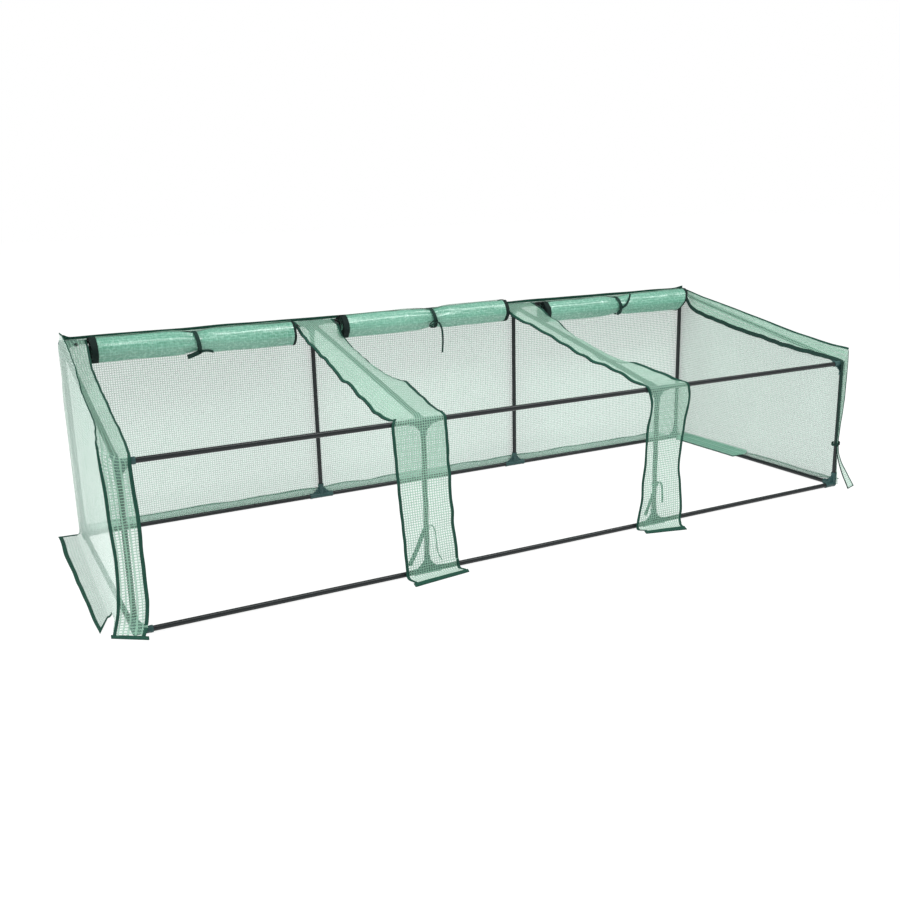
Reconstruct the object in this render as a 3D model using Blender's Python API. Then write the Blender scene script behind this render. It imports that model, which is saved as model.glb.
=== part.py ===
"""Row cover tunnel: a lean-to frame of steel tubes under a film cover with three roll-up doors.

The model is in metres, +Z up, with its length along X, the low front at -Y and the tall back at +Y.
Its origin is on the ground, in the middle of the space that the whole cover takes.
"""

import math

import bmesh
import bpy
import numpy as np
from mathutils import Matrix, Vector

# Driving dimensions: tube centres, in metres
BAY_COUNT = 3
DOOR_WIDTH = 0.700
STRIP_HALF_WIDTH = 0.085
DOOR_SIDE_GAP = 0.005
FRAME_DEPTH = 0.930
FRONT_HEIGHT = 0.484
RIDGE_HEIGHT = 0.681

# Tubes
TUBE_RADIUS = 0.008
TUBE_WALL = 0.0008
CIRCLE_SIDES = 12

# Connectors: sockets that hold the tubes, with webs between them
FIT_CLEARANCE = 0.0003
SOCKET_WALL = 0.0022
SOCKET_LENGTH = 0.046
TUBE_SEAT = 0.014
WEB_LEG = 0.040
WEB_THICKNESS = 0.004
CORE_SHARE = 0.1
CUT_OVERRUN = 0.010

# Cover film
FILM_THICKNESS = 0.001
FLAT_LENGTH = 0.080
COVER_GAP = 0.0012
BEND_STEPS = 3
SEAM_GAP = 0.0005
WELD_DISTANCE = 0.00001
BACK_SKIRT_REACH = 0.120
END_SKIRT_REACH = 0.072
SKIRT_BACKSET = 0.080
FLAP_REACH = 0.050
RIDGE_LAP = 0.015
END_FLARE = 0.0265
END_BULGE = 0.008
END_STRIP_INNER = 0.048
TIED_STRIP_INNER = 0.012
TIP_RISE = 0.030
STRIP_DROOP = 0.028
END_STRIP_DROOP = 0.014
BACK_BULGE = 0.010

# Rolled doors
ROLL_RADIUS = 0.044
ROLL_CORE_RADIUS = 0.011
ROLL_TURNS = 6
ROLL_TURN_POINTS = 12
ROLL_BACKSET = 0.060
ROLL_DROP = 0.021
ROLL_PINCH_SHARE = 0.82
PINCH_STATION_SHARE = 0.16
FLAP_LIFT = 0.0005

# Tie straps round the rolled doors
STRAP_WIDTH = 0.016
STRAP_THICKNESS = 0.0012
STRAP_CLEARANCE = 0.0006
STRAP_SIDES = 20
TAIL_LENGTH = 0.062
TAIL_SPREAD = 0.030
TAIL_WIDTH = 0.010

# Zip sliders
SLIDER_LENGTH = 0.014
SLIDER_WIDTH = 0.010
SLIDER_HEIGHT = 0.005
SLIDER_EDGE_DISTANCE = 0.010
SLIDER_START = 0.045
PULL_LENGTH = 0.020
PULL_THICKNESS = 0.0015
SLIDER_GAP = 0.0004

# Worked out from the sizes above
BAY_PITCH = DOOR_WIDTH + 2 * (STRIP_HALF_WIDTH + DOOR_SIDE_GAP)
SOCKET_RADIUS = TUBE_RADIUS + FIT_CLEARANCE + SOCKET_WALL
BASE_HEIGHT = SOCKET_RADIUS
COVER_OFFSET = SOCKET_RADIUS + COVER_GAP + FILM_THICKNESS / 2
FRONT_REACH = COVER_OFFSET + FLAP_REACH
BACK_REACH = COVER_OFFSET + BACK_SKIRT_REACH
FRONT_Y = -FRAME_DEPTH / 2 + (FRONT_REACH - BACK_REACH) / 2
BACK_Y = FRONT_Y + FRAME_DEPTH
FRAME_XS = [(index - BAY_COUNT / 2) * BAY_PITCH for index in range(BAY_COUNT + 1)]
END_X = FRAME_XS[-1]
SLOPE = math.atan2(RIDGE_HEIGHT - FRONT_HEIGHT, FRAME_DEPTH)
DOWN_SLOPE = Vector((0, -math.cos(SLOPE), -math.sin(SLOPE)))
OFF_SLOPE = Vector((0, -math.sin(SLOPE), math.cos(SLOPE)))
GROUND_SHEET_Z = FILM_THICKNESS / 2
RIDGE_EDGE_Y = BACK_Y - RIDGE_LAP
ROLL_Y = BACK_Y - ROLL_BACKSET
ROLL_Z = RIDGE_HEIGHT - ROLL_DROP


def slope_height(y, offset):
    """Return the height at y of the plane that lies offset above the rafters' centres."""
    return FRONT_HEIGHT + (y - FRONT_Y) * math.tan(SLOPE) + offset / math.cos(SLOPE)


def make_material(name, colour, roughness, metallic=0.0):
    """Return a Principled material with one colour."""
    material = bpy.data.materials.new(name)
    material.use_nodes = True
    shader = material.node_tree.nodes["Principled BSDF"]
    shader.inputs["Base Color"].default_value = (*colour, 1.0)
    shader.inputs["Roughness"].default_value = roughness
    shader.inputs["Metallic"].default_value = metallic
    return material


def add_object(name, mesh, material):
    """Link a new object that holds the mesh, with its own copy of the material."""
    obj = bpy.data.objects.new(name, mesh)
    bpy.context.scene.collection.objects.link(obj)
    own = material.copy()
    own.name = name + "_finish"
    mesh.materials.clear()
    mesh.materials.append(own)
    return obj


def mesh_from_bmesh(name, bm):
    """Write a bmesh with outward faces into a new mesh."""
    bmesh.ops.recalc_face_normals(bm, faces=bm.faces)
    mesh = bpy.data.meshes.new(name)
    bm.to_mesh(mesh)
    bm.free()
    return mesh


def grid_faces(rows, columns, close_rows=False, close_columns=False):
    """Return the quads of a grid of points, closed on itself where asked."""
    faces = []
    for row in range(rows if close_rows else rows - 1):
        for column in range(columns if close_columns else columns - 1):
            next_row = (row + 1) % rows
            next_column = (column + 1) % columns
            faces.append((row * columns + column, row * columns + next_column,
                          next_row * columns + next_column, next_row * columns + column))
    return faces


def circle_points(radius, height, sides):
    """Return a level polygon whose flats face the axes."""
    angles = (np.arange(sides) + 0.5) * 2 * math.pi / sides
    return np.stack([radius * np.cos(angles), radius * np.sin(angles), np.full(sides, height)], axis=1)


def flat_radius(radius, sides):
    """Return the corner radius of a polygon whose flats lie at the radius."""
    return radius / math.cos(math.pi / sides)


def ring_mesh(name, outer, inner, low, high, sides):
    """Return a straight hollow tube along Z, open at both ends."""
    rings = np.concatenate([circle_points(outer, low, sides), circle_points(outer, high, sides),
                            circle_points(inner, high, sides), circle_points(inner, low, sides)])
    bm = bmesh.new()
    corners = [bm.verts.new(point) for point in rings]
    for face in grid_faces(4, sides, close_rows=True, close_columns=True):
        bm.faces.new([corners[index] for index in face])
    return mesh_from_bmesh(name, bm)


def rod_mesh(name, corner_radius, low, high):
    """Return a straight solid rod along Z."""
    rings = np.concatenate([circle_points(corner_radius, low, CIRCLE_SIDES),
                            circle_points(corner_radius, high, CIRCLE_SIDES)])
    bm = bmesh.new()
    corners = [bm.verts.new(point) for point in rings]
    for face in grid_faces(2, CIRCLE_SIDES, close_columns=True):
        bm.faces.new([corners[index] for index in face])
    bm.faces.new(corners[:CIRCLE_SIDES])
    bm.faces.new(corners[CIRCLE_SIDES:])
    return mesh_from_bmesh(name, bm)


def prism_mesh(name, outline, thickness):
    """Return an outline in local XY, extruded evenly to both sides along Z."""
    bm = bmesh.new()
    corners = [bm.verts.new((x, y, -thickness / 2)) for x, y in outline]
    face = bm.faces.new(corners)
    extruded = bmesh.ops.extrude_face_region(bm, geom=[face])["geom"]
    moved = [item for item in extruded if isinstance(item, bmesh.types.BMVert)]
    bmesh.ops.translate(bm, verts=moved, vec=(0, 0, thickness))
    return mesh_from_bmesh(name, bm)


def place(obj, position, x_axis, z_axis):
    """Put an object at a position, with its local X and Z along two square directions."""
    z_axis = Vector(z_axis).normalized()
    x_axis = Vector(x_axis).normalized()
    turn = Matrix((x_axis, z_axis.cross(x_axis), z_axis)).transposed()
    obj.location = position
    obj.rotation_euler = turn.to_euler()


def side_axis(direction):
    """Return a level direction square to a tube, or X for an upright one."""
    return Vector((0, 1, 0)) if abs(direction.x) > abs(direction.z) else Vector((1, 0, 0))


def helper(name, mesh):
    """Link an object that only takes part in a Boolean."""
    obj = bpy.data.objects.new(name, mesh)
    bpy.context.scene.collection.objects.link(obj)
    obj.hide_render = True
    obj.display_type = "WIRE"
    return obj


def settle_booleans(obj, additions, cuts):
    """Join the additions to an object, cut the cuts out of it, and keep only the result."""
    for operation, tools in (("UNION", additions), ("DIFFERENCE", cuts)):
        for tool in tools:
            modifier = obj.modifiers.new(tool.name, "BOOLEAN")
            modifier.operation = operation
            modifier.solver = "EXACT"
            modifier.object = tool
    bpy.context.view_layer.update()
    evaluated = obj.evaluated_get(bpy.context.evaluated_depsgraph_get())
    result = bpy.data.meshes.new_from_object(evaluated)
    obj.modifiers.clear()
    finish = obj.data.materials[0]
    obj.data = result
    result.name = obj.name
    result.materials.clear()
    result.materials.append(finish)
    for tool in additions + cuts:
        bpy.data.objects.remove(tool, do_unlink=True)


def make_tube(name, start, end, material):
    """Make a hollow steel tube that is seated in the connectors at two frame joints."""
    start, end = Vector(start), Vector(end)
    direction = (end - start).normalized()
    length = (end - start).length - 2 * TUBE_SEAT
    mesh = ring_mesh(name, TUBE_RADIUS, TUBE_RADIUS - TUBE_WALL, 0, length, CIRCLE_SIDES)
    tube = add_object(name, mesh, material)
    tube.data.shade_smooth()
    tube.data.set_sharp_from_angle(angle=math.radians(45))
    place(tube, start + direction * TUBE_SEAT, side_axis(direction), direction)
    return tube


def make_connector(name, centre, arms, webs, material):
    """Make a moulded connector with a socket along each arm and a web between the paired arms.

    Two arms in one line share one rod, so that no two rods have faces in one place.
    """
    centre = Vector(centre)
    outer = flat_radius(SOCKET_RADIUS, CIRCLE_SIDES)
    rods = []
    for arm in arms:
        if not any((arm + axis).length < FIT_CLEARANCE for axis, _ in rods):
            has_opposite = any((arm + other).length < FIT_CLEARANCE for other in arms)
            rods.append((arm, -SOCKET_LENGTH if has_opposite else -SOCKET_RADIUS * CORE_SHARE))
    connector = add_object(name, rod_mesh(name, outer, rods[0][1], SOCKET_LENGTH), material)
    place(connector, centre, side_axis(rods[0][0]), rods[0][0])
    additions, cuts = [], []
    for number, (axis, low) in enumerate(rods[1:]):
        socket = helper(f"{name}_socket_{number}", rod_mesh("socket", outer, low, SOCKET_LENGTH))
        place(socket, centre, side_axis(axis), axis)
        additions.append(socket)
    for number, arm in enumerate(arms):
        bore_mesh = rod_mesh("bore", TUBE_RADIUS + FIT_CLEARANCE, TUBE_SEAT - FIT_CLEARANCE,
                             SOCKET_LENGTH + CUT_OVERRUN)
        bore = helper(f"{name}_bore_{number}", bore_mesh)
        place(bore, centre, side_axis(arm), arm)
        cuts.append(bore)
    for number, (first, second) in enumerate(webs):
        across = second - first * first.dot(second)
        along_share, across_share = first.dot(second), across.length
        outline = [(0, 0), (WEB_LEG, 0), (WEB_LEG * along_share, WEB_LEG * across_share)]
        web = helper(f"{name}_web_{number}", prism_mesh("web", outline, WEB_THICKNESS))
        place(web, centre, first, first.cross(second))
        additions.append(web)
    settle_booleans(connector, additions, cuts)
    connector.data.set_sharp_from_angle(angle=math.radians(35))
    return connector


def frame_joints():
    """Return the centres where tubes meet, by kind, one list entry for each cross frame."""
    return {
        "front_base": [Vector((x, FRONT_Y, BASE_HEIGHT)) for x in FRAME_XS],
        "back_base": [Vector((x, BACK_Y, BASE_HEIGHT)) for x in FRAME_XS],
        "front_top": [Vector((x, FRONT_Y, FRONT_HEIGHT)) for x in FRAME_XS],
        "back_top": [Vector((x, BACK_Y, RIDGE_HEIGHT)) for x in FRAME_XS],
    }


def make_tubes(steel):
    """Make the uprights, rafters and rails, each from connector to connector."""
    joints = frame_joints()
    for index in range(BAY_COUNT + 1):
        number = index + 1
        make_tube(f"front_upright_{number}", joints["front_base"][index], joints["front_top"][index], steel)
        make_tube(f"back_upright_{number}", joints["back_base"][index], joints["back_top"][index], steel)
        make_tube(f"rafter_{number}", joints["front_top"][index], joints["back_top"][index], steel)
    runs = {"front_base": "front_base_rail", "back_base": "back_base_rail",
            "front_top": "front_top_rail", "back_top": "ridge_tube"}
    for kind, tube_name in runs.items():
        for index in range(BAY_COUNT):
            make_tube(f"{tube_name}_{index + 1}", joints[kind][index], joints[kind][index + 1], steel)
    make_tube("left_base_rail", joints["front_base"][0], joints["back_base"][0], steel)
    make_tube("right_base_rail", joints["front_base"][-1], joints["back_base"][-1], steel)


def make_connectors(plastic):
    """Make the connectors: three-way at the base corners, T at the base, and up to four-way on top."""
    up, down = Vector((0, 0, 1)), Vector((0, 0, -1))
    left, right = Vector((-1, 0, 0)), Vector((1, 0, 0))
    inward = {"front_base": Vector((0, 1, 0)), "back_base": Vector((0, -1, 0)),
              "front_top": -DOWN_SLOPE, "back_top": DOWN_SLOPE}
    for kind, centres in frame_joints().items():
        post = up if kind.endswith("base") else down
        for index, centre in enumerate(centres):
            rails = [arm for arm, present in ((left, index > 0), (right, index < BAY_COUNT)) if present]
            has_depth_arm = kind.endswith("top") or index in (0, BAY_COUNT)
            depth_arms = [inward[kind]] if has_depth_arm else []
            webs = [(post, arm) for arm in rails + depth_arms]
            make_connector(f"{kind}_connector_{index + 1}", centre, [post] + rails + depth_arms, webs, plastic)


def film_object(name, patches, material):
    """Make a closed film from patches of a middle surface that share their edges."""
    bm = bmesh.new()
    for patch in patches:
        rows, columns = patch.shape[:2]
        corners = [bm.verts.new(point) for point in patch.reshape(-1, 3)]
        for face in grid_faces(rows, columns):
            bm.faces.new([corners[index] for index in face])
    bmesh.ops.remove_doubles(bm, verts=bm.verts, dist=WELD_DISTANCE)
    film = add_object(name, mesh_from_bmesh(name, bm), material)
    film.data.shade_smooth()
    film.data.set_sharp_from_angle(angle=math.radians(50))
    thicken = film.modifiers.new("film", "SOLIDIFY")
    thicken.thickness = FILM_THICKNESS
    thicken.offset = 0
    thicken.use_even_offset = True
    return film


def arc_points(centre_y, centre_z, start, end, steps):
    """Return points in YZ on an arc of film round a tube, between two angles from +Y."""
    angles = np.linspace(start, end, steps + 1)
    return [(centre_y + COVER_OFFSET * math.cos(angle), centre_z + COVER_OFFSET * math.sin(angle))
            for angle in angles]


def front_bend():
    """Return the film's bend over the front top rail, from square to the slope to level with the front."""
    return arc_points(FRONT_Y, FRONT_HEIGHT, math.pi / 2 + SLOPE, math.pi, BEND_STEPS)


def slope_rows(count):
    """Return the Y of rows down the slope, and how far the film hangs down there, from 0 to 1.

    The film lies flat where it meets the ridge and the front rail, and hangs lowest half way.
    """
    start_y = RIDGE_EDGE_Y - SEAM_GAP
    end_y = front_bend()[0][0]
    flat = FLAT_LENGTH * math.cos(SLOPE)
    shares = np.linspace(0, 1, count)
    rows = start_y - flat + (end_y - start_y + 2 * flat) * shares
    ys = np.concatenate([[start_y], rows, [end_y]])
    hang = np.concatenate([[0], np.sin(math.pi * shares) ** 2, [0]])
    return ys, hang


def drape_path(slope_row_count, front_rows):
    """Return the middle strips' path from the ridge to the end of the ground flap.

    Each row is (y, z, hang): the last is how far the film hangs down between the rails, from 0 to 1.
    """
    ys, hangs = slope_rows(slope_row_count)
    path = [(y, slope_height(y, COVER_OFFSET), hang) for y, hang in zip(ys, hangs)]
    path.extend((y, z, 0) for y, z in front_bend()[1:])
    front_y = FRONT_Y - COVER_OFFSET
    for share in np.linspace(0, 1, front_rows)[1:]:
        path.append((front_y, FRONT_HEIGHT + (BASE_HEIGHT - FRONT_HEIGHT) * share, 0))
    path.append((front_y - BASE_HEIGHT, GROUND_SHEET_Z, 0))
    path.append((front_y - FLAP_REACH, GROUND_SHEET_Z, 0))
    return np.array(path)


def make_middle_strips(film):
    """Make the strips that hang over the inner rafters, drawn down at both sides between the rails."""
    path = drape_path(slope_row_count=6, front_rows=5)
    side_shares = np.array([-1, -0.5, 0, 0.5, 1])
    for number in range(1, BAY_COUNT):
        surface = np.empty((len(path), len(side_shares), 3))
        droop = STRIP_DROOP * path[:, 2]
        surface[:, :, 0] = FRAME_XS[number] + STRIP_HALF_WIDTH * side_shares[None, :]
        surface[:, :, 1] = path[:, 0][:, None]
        surface[:, :, 2] = path[:, 1][:, None] - droop[:, None] * side_shares[None, :] ** 2
        film_object(f"middle_strip_{number}", [surface], film)


def make_back_cover(film):
    """Make the back wall, which laps over the ridge tube and runs out on the ground as a skirt."""
    wall_y = BACK_Y + COVER_OFFSET
    half_length = END_X + COVER_OFFSET - FILM_THICKNESS / 2 - SEAM_GAP
    path = [(wall_y + BACK_SKIRT_REACH, GROUND_SHEET_Z, 0), (wall_y + BASE_HEIGHT, GROUND_SHEET_Z, 0)]
    wall_rows = 4
    for share in np.linspace(0, 1, wall_rows + 1):
        path.append((wall_y, BASE_HEIGHT + (RIDGE_HEIGHT - BASE_HEIGHT) * share, math.sin(math.pi * share)))
    ridge_bend = arc_points(BACK_Y, RIDGE_HEIGHT, 0, math.pi / 2 + SLOPE, BEND_STEPS + 1)
    path.extend((y, z, 0) for y, z in ridge_bend[1:])
    path.append((RIDGE_EDGE_Y, slope_height(RIDGE_EDGE_Y, COVER_OFFSET), 0))
    path = np.array(path)
    columns = 4 * BAY_COUNT + 1
    places = np.linspace(-half_length, half_length, columns)
    wave = np.sin(math.pi * np.linspace(0, BAY_COUNT, columns)) ** 2
    surface = np.empty((len(path), columns, 3))
    surface[:, :, 0] = places[None, :]
    surface[:, :, 1] = path[:, 0][:, None] + BACK_BULGE * path[:, 2][:, None] * wave[None, :]
    surface[:, :, 2] = path[:, 1][:, None]
    film_object("back_cover", [surface], film)


def make_end_cover(name, side, strip_inner, film):
    """Make an end wall with its ground skirt, its strip over the rafter and its strip down the front.

    The side is -1 at the left end and 1 at the right. The strip_inner is how far the front strip's
    inner edge lies inside the end frame at mid height.
    """
    wall_back_y = BACK_Y + COVER_OFFSET + FILM_THICKNESS / 2
    front_y = FRONT_Y - COVER_OFFSET
    bend = np.array(front_bend())
    run_ys, hangs = slope_rows(5)
    hangs = np.append(hangs, np.zeros(BEND_STEPS))
    ys = np.concatenate([[wall_back_y], run_ys, bend[1:, 0]])
    depth_shares = (wall_back_y - ys) / (wall_back_y - front_y)
    wall_xs = END_X + COVER_OFFSET + END_FLARE * depth_shares
    tops = np.concatenate([[RIDGE_HEIGHT + TIP_RISE], slope_height(run_ys, COVER_OFFSET), bend[1:, 1]])

    height_shares = np.linspace(0, 1, 5)
    heights = BASE_HEIGHT + (tops - BASE_HEIGHT)[:, None] * height_shares[None, :]
    bulge = END_BULGE * np.sin(math.pi * depth_shares)[:, None] * np.sin(math.pi * height_shares)[None, :]
    wall = np.empty((len(ys), len(height_shares), 3))
    wall[:, :, 0] = side * (wall_xs[:, None] + bulge)
    wall[:, :, 1] = ys[:, None]
    wall[:, :, 2] = heights

    slope_strip = np.empty((len(ys) - 1, 3, 3))
    slope_strip[:, 0] = wall[1:, -1]
    for column, inset, droop in ((1, SOCKET_RADIUS, 0), (2, END_STRIP_INNER, END_STRIP_DROOP)):
        slope_strip[:, column, 0] = side * (END_X - inset)
        slope_strip[:, column, 1] = ys[1:]
        slope_strip[:, column, 2] = tops[1:] - droop * hangs

    front_strip = np.empty((len(height_shares), 3, 3))
    front_strip[:, 0] = wall[-1]
    tucked = strip_inner + (END_STRIP_INNER - strip_inner) * height_shares ** 2
    for column, inset in ((1, SOCKET_RADIUS), (2, tucked)):
        front_strip[:, column, 0] = side * (END_X - inset)
        front_strip[:, column, 1] = front_y
        front_strip[:, column, 2] = heights[-1]
    front_strip[-1] = slope_strip[-1]

    flap = np.stack([front_strip[0], front_strip[0], front_strip[0]])
    flap[1, :, 1:] = (front_y - BASE_HEIGHT, GROUND_SHEET_Z)
    flap[2, :, 1:] = (front_y - FLAP_REACH, GROUND_SHEET_Z)

    skirt_columns = ys > front_y + SKIRT_BACKSET
    skirt_edge = wall[skirt_columns, 0]
    skirt = np.stack([skirt_edge, skirt_edge, skirt_edge])
    skirt[1, :, 0] += side * BASE_HEIGHT
    skirt[2, :, 0] = side * (END_X + COVER_OFFSET + END_SKIRT_REACH)
    skirt[1:, :, 2] = GROUND_SHEET_Z
    film_object(name, [wall, slope_strip, front_strip, flap, skirt], film)


def spiral_outline(scale):
    """Return the rolled door's section in YZ about the roll's axis, as outer and inner points.

    The film comes over the top of the roll and winds down its front and in: the radius falls evenly
    with the angle, from the roll's radius to its core's.
    """
    count = ROLL_TURNS * ROLL_TURN_POINTS + 1
    angles = math.pi / 2 + np.linspace(0, 2 * math.pi * ROLL_TURNS, count)
    radii = np.linspace(ROLL_RADIUS, ROLL_CORE_RADIUS, count) * scale
    outer = np.stack([radii * np.cos(angles), radii * np.sin(angles)], axis=1)
    inner_radii = radii - FILM_THICKNESS
    inner = np.stack([inner_radii * np.cos(angles), inner_radii * np.sin(angles)], axis=1)
    return outer, inner


def least_roll_gap():
    """Return the least distance between the points of neighbouring turns, at the pinched middle."""
    outer, inner = spiral_outline(ROLL_PINCH_SHARE)
    distances = np.linalg.norm(inner[:-ROLL_TURN_POINTS] - outer[ROLL_TURN_POINTS:], axis=1)
    return float(distances.min())


def make_door_roll(name, bay_x, film):
    """Make a rolled door as one spiral sheet, drawn in at the middle by its tie."""
    half = DOOR_WIDTH / 2
    held = STRAP_WIDTH / 2 + STRAP_CLEARANCE
    stations = [(-half, 1), (-half * PINCH_STATION_SHARE, 1), (-held, ROLL_PINCH_SHARE),
                (held, ROLL_PINCH_SHARE), (half * PINCH_STATION_SHARE, 1), (half, 1)]
    bm = bmesh.new()
    rings = []
    for x, scale in stations:
        outer, inner = spiral_outline(scale)
        loop = np.concatenate([outer, inner[::-1]])
        rings.append([bm.verts.new((x, y, z)) for y, z in loop])
    size = len(rings[0])
    for ring, following in zip(rings, rings[1:]):
        for index in range(size):
            after = (index + 1) % size
            bm.faces.new((ring[index], ring[after], following[after], following[index]))
    for ring in (rings[0], rings[-1]):
        for index in range(size // 2 - 1):
            bm.faces.new((ring[index], ring[index + 1], ring[size - 2 - index], ring[size - 1 - index]))
    roll = add_object(name, mesh_from_bmesh(name, bm), film)
    roll.location = (bay_x, ROLL_Y, ROLL_Z)
    return roll


def make_door_flap(name, bay_x, film):
    """Make the stretch of door between ridge and roll, with the tie strap that holds the roll.

    It runs straight from the ridge to where it touches a circle just clear of the roll, and bends
    round that circle to the roll's top.
    """
    start_y = RIDGE_EDGE_Y - SEAM_GAP
    start_z = slope_height(start_y, COVER_OFFSET)
    radius = ROLL_RADIUS + FLAP_LIFT + FILM_THICKNESS / 2
    run, rise = start_y - ROLL_Y, start_z - ROLL_Z
    touch = math.atan2(rise, run) + math.acos(radius / math.hypot(run, rise))
    path = [(start_y, start_z)]
    for angle in np.linspace(touch, math.pi / 2, BEND_STEPS):
        path.append((ROLL_Y + radius * math.cos(angle), ROLL_Z + radius * math.sin(angle)))
    path.append((ROLL_Y - STRAP_WIDTH / 2, ROLL_Z + radius))
    path = np.array(path)
    surface = np.empty((len(path), 2, 3))
    surface[:, :, 0] = bay_x + np.array([-DOOR_WIDTH / 2, DOOR_WIDTH / 2])[None, :]
    surface[:, :, 1:] = path[:, None, :]
    flap = film_object(name, [surface], film)

    inner = ROLL_RADIUS * ROLL_PINCH_SHARE + STRAP_CLEARANCE
    inner_corner = flat_radius(inner, STRAP_SIDES)
    loop = helper("loop", ring_mesh("loop", inner_corner + STRAP_THICKNESS, inner_corner,
                                    -STRAP_WIDTH / 2, STRAP_WIDTH / 2, STRAP_SIDES))
    centre = Vector((bay_x, ROLL_Y, ROLL_Z))
    place(loop, centre, (0, 1, 0), (1, 0, 0))
    riser_low, riser_high = inner + STRAP_THICKNESS / 2, ROLL_RADIUS + FLAP_LIFT + FILM_THICKNESS / 2
    half_riser = STRAP_WIDTH / 2 - STRAP_THICKNESS
    riser = helper("riser", prism_mesh("riser", [(riser_low, -half_riser), (riser_high, -half_riser),
                                                 (riser_high, half_riser), (riser_low, half_riser)],
                                       STRAP_WIDTH / 2))
    place(riser, centre, (0, 0, 1), (0, 1, 0))
    tails = []
    for side in (-1, 1):
        reach = inner + STRAP_THICKNESS / 2
        outline = [(0, 0), (TAIL_WIDTH, 0), (TAIL_WIDTH + TAIL_SPREAD, -TAIL_LENGTH), (TAIL_SPREAD, -TAIL_LENGTH)]
        outline = [(side * x, y) for x, y in outline]
        tail = helper("tail", prism_mesh("tail", outline, STRAP_THICKNESS))
        place(tail, centre - Vector((side * STRAP_THICKNESS, reach, 0)), (1, 0, 0), (0, -1, 0))
        tails.append(tail)
    settle_booleans(flap, [loop, riser] + tails, [])
    return flap


def make_slider(name, x, metal):
    """Make a zip slider with its pull, lying on the edge of its strip near the ridge."""
    half = SLIDER_LENGTH / 2
    tongue_low = (SLIDER_HEIGHT - PULL_THICKNESS) / 2
    outline = [(-half, 0), (half, 0), (half, tongue_low), (half + PULL_LENGTH, tongue_low),
               (half + PULL_LENGTH, tongue_low + PULL_THICKNESS), (half, tongue_low + PULL_THICKNESS),
               (half - PULL_THICKNESS, SLIDER_HEIGHT), (-half + PULL_THICKNESS, SLIDER_HEIGHT)]
    slider = add_object(name, prism_mesh(name, outline, SLIDER_WIDTH), metal)
    ridge_end = Vector((x, RIDGE_EDGE_Y, slope_height(RIDGE_EDGE_Y, COVER_OFFSET)))
    lift = FILM_THICKNESS / 2 + SLIDER_GAP
    place(slider, ridge_end + DOWN_SLOPE * SLIDER_START + OFF_SLOPE * lift, DOWN_SLOPE,
          DOWN_SLOPE.cross(OFF_SLOPE))
    return slider


def make_doors(film, metal):
    """Make each bay's rolled door, its flap and tie, and its two zip sliders."""
    for index in range(BAY_COUNT):
        number = index + 1
        bay_x = (FRAME_XS[index] + FRAME_XS[index + 1]) / 2
        make_door_roll(f"door_roll_{number}", bay_x, film)
        make_door_flap(f"door_flap_{number}", bay_x, film)
        left_edge = STRIP_HALF_WIDTH if index else END_STRIP_INNER
        right_edge = STRIP_HALF_WIDTH if index < BAY_COUNT - 1 else END_STRIP_INNER
        make_slider(f"zip_slider_{number}_left", FRAME_XS[index] + left_edge - SLIDER_EDGE_DISTANCE, metal)
        make_slider(f"zip_slider_{number}_right", FRAME_XS[index + 1] - right_edge + SLIDER_EDGE_DISTANCE, metal)


def main():
    """Build the whole tunnel in an emptied scene."""
    for obj in list(bpy.data.objects):
        bpy.data.objects.remove(obj, do_unlink=True)
    steel = make_material("coated_steel", (0.035, 0.040, 0.042), 0.45, 0.2)
    plastic = make_material("moulded_plastic", (0.030, 0.090, 0.085), 0.50)
    film = make_material("cover_film", (0.45, 0.72, 0.60), 0.35)
    zip_metal = make_material("zip_metal", (0.08, 0.10, 0.10), 0.40, 0.6)
    make_tubes(steel)
    make_connectors(plastic)
    make_back_cover(film)
    make_end_cover("left_end_cover", -1, END_STRIP_INNER, film)
    make_end_cover("right_end_cover", 1, TIED_STRIP_INNER, film)
    make_middle_strips(film)
    make_doors(film, zip_metal)
    print(f"least gap between turns of a rolled door: {least_roll_gap() * 1000:.2f} mm")


main()
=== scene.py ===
"""Row cover tunnel: a low lean-to of steel tube under a sewn cover of green scrim film.

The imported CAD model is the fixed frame. Each sub-assembly below is a class that builds its own
meshes from numpy surfaces in metres, in the frame's axes: +X along the tunnel, +Y from the low
open front to the tall back wall, +Z up from the ground.
"""
from __future__ import annotations

import logging
import math
from dataclasses import dataclass
from enum import Enum
from typing import Any, Callable, Sequence

import bmesh
import bpy
import numpy as np
from mathutils import Matrix, Vector

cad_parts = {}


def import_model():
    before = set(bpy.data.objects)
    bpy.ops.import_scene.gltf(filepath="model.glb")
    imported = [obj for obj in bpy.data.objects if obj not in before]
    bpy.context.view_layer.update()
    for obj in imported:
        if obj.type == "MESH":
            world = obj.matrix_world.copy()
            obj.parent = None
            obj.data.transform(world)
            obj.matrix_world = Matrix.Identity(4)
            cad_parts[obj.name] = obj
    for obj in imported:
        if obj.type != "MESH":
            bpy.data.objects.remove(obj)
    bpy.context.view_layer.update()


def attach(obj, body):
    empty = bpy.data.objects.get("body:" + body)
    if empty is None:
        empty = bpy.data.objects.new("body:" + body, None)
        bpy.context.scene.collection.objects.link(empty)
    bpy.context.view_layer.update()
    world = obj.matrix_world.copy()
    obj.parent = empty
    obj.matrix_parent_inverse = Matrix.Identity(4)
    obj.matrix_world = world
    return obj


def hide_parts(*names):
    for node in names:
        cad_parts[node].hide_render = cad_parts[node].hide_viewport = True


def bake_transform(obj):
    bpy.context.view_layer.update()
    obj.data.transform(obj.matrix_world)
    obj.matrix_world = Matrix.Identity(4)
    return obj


LOG = logging.getLogger("row_cover_tunnel")
Array = np.ndarray
Colour = tuple[float, float, float]
Surface = Callable[[Array, Array], Array]
RIGHT, AHEAD, UP = np.eye(3)
WHITE = (1.0, 1.0, 1.0)


class Slot(Enum):
    """The material slots, by name."""

    STEEL = "coated_steel"
    PLASTIC = "moulded_plastic"
    FILM = "cover_film"
    ZIP = "zip_metal"


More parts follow.
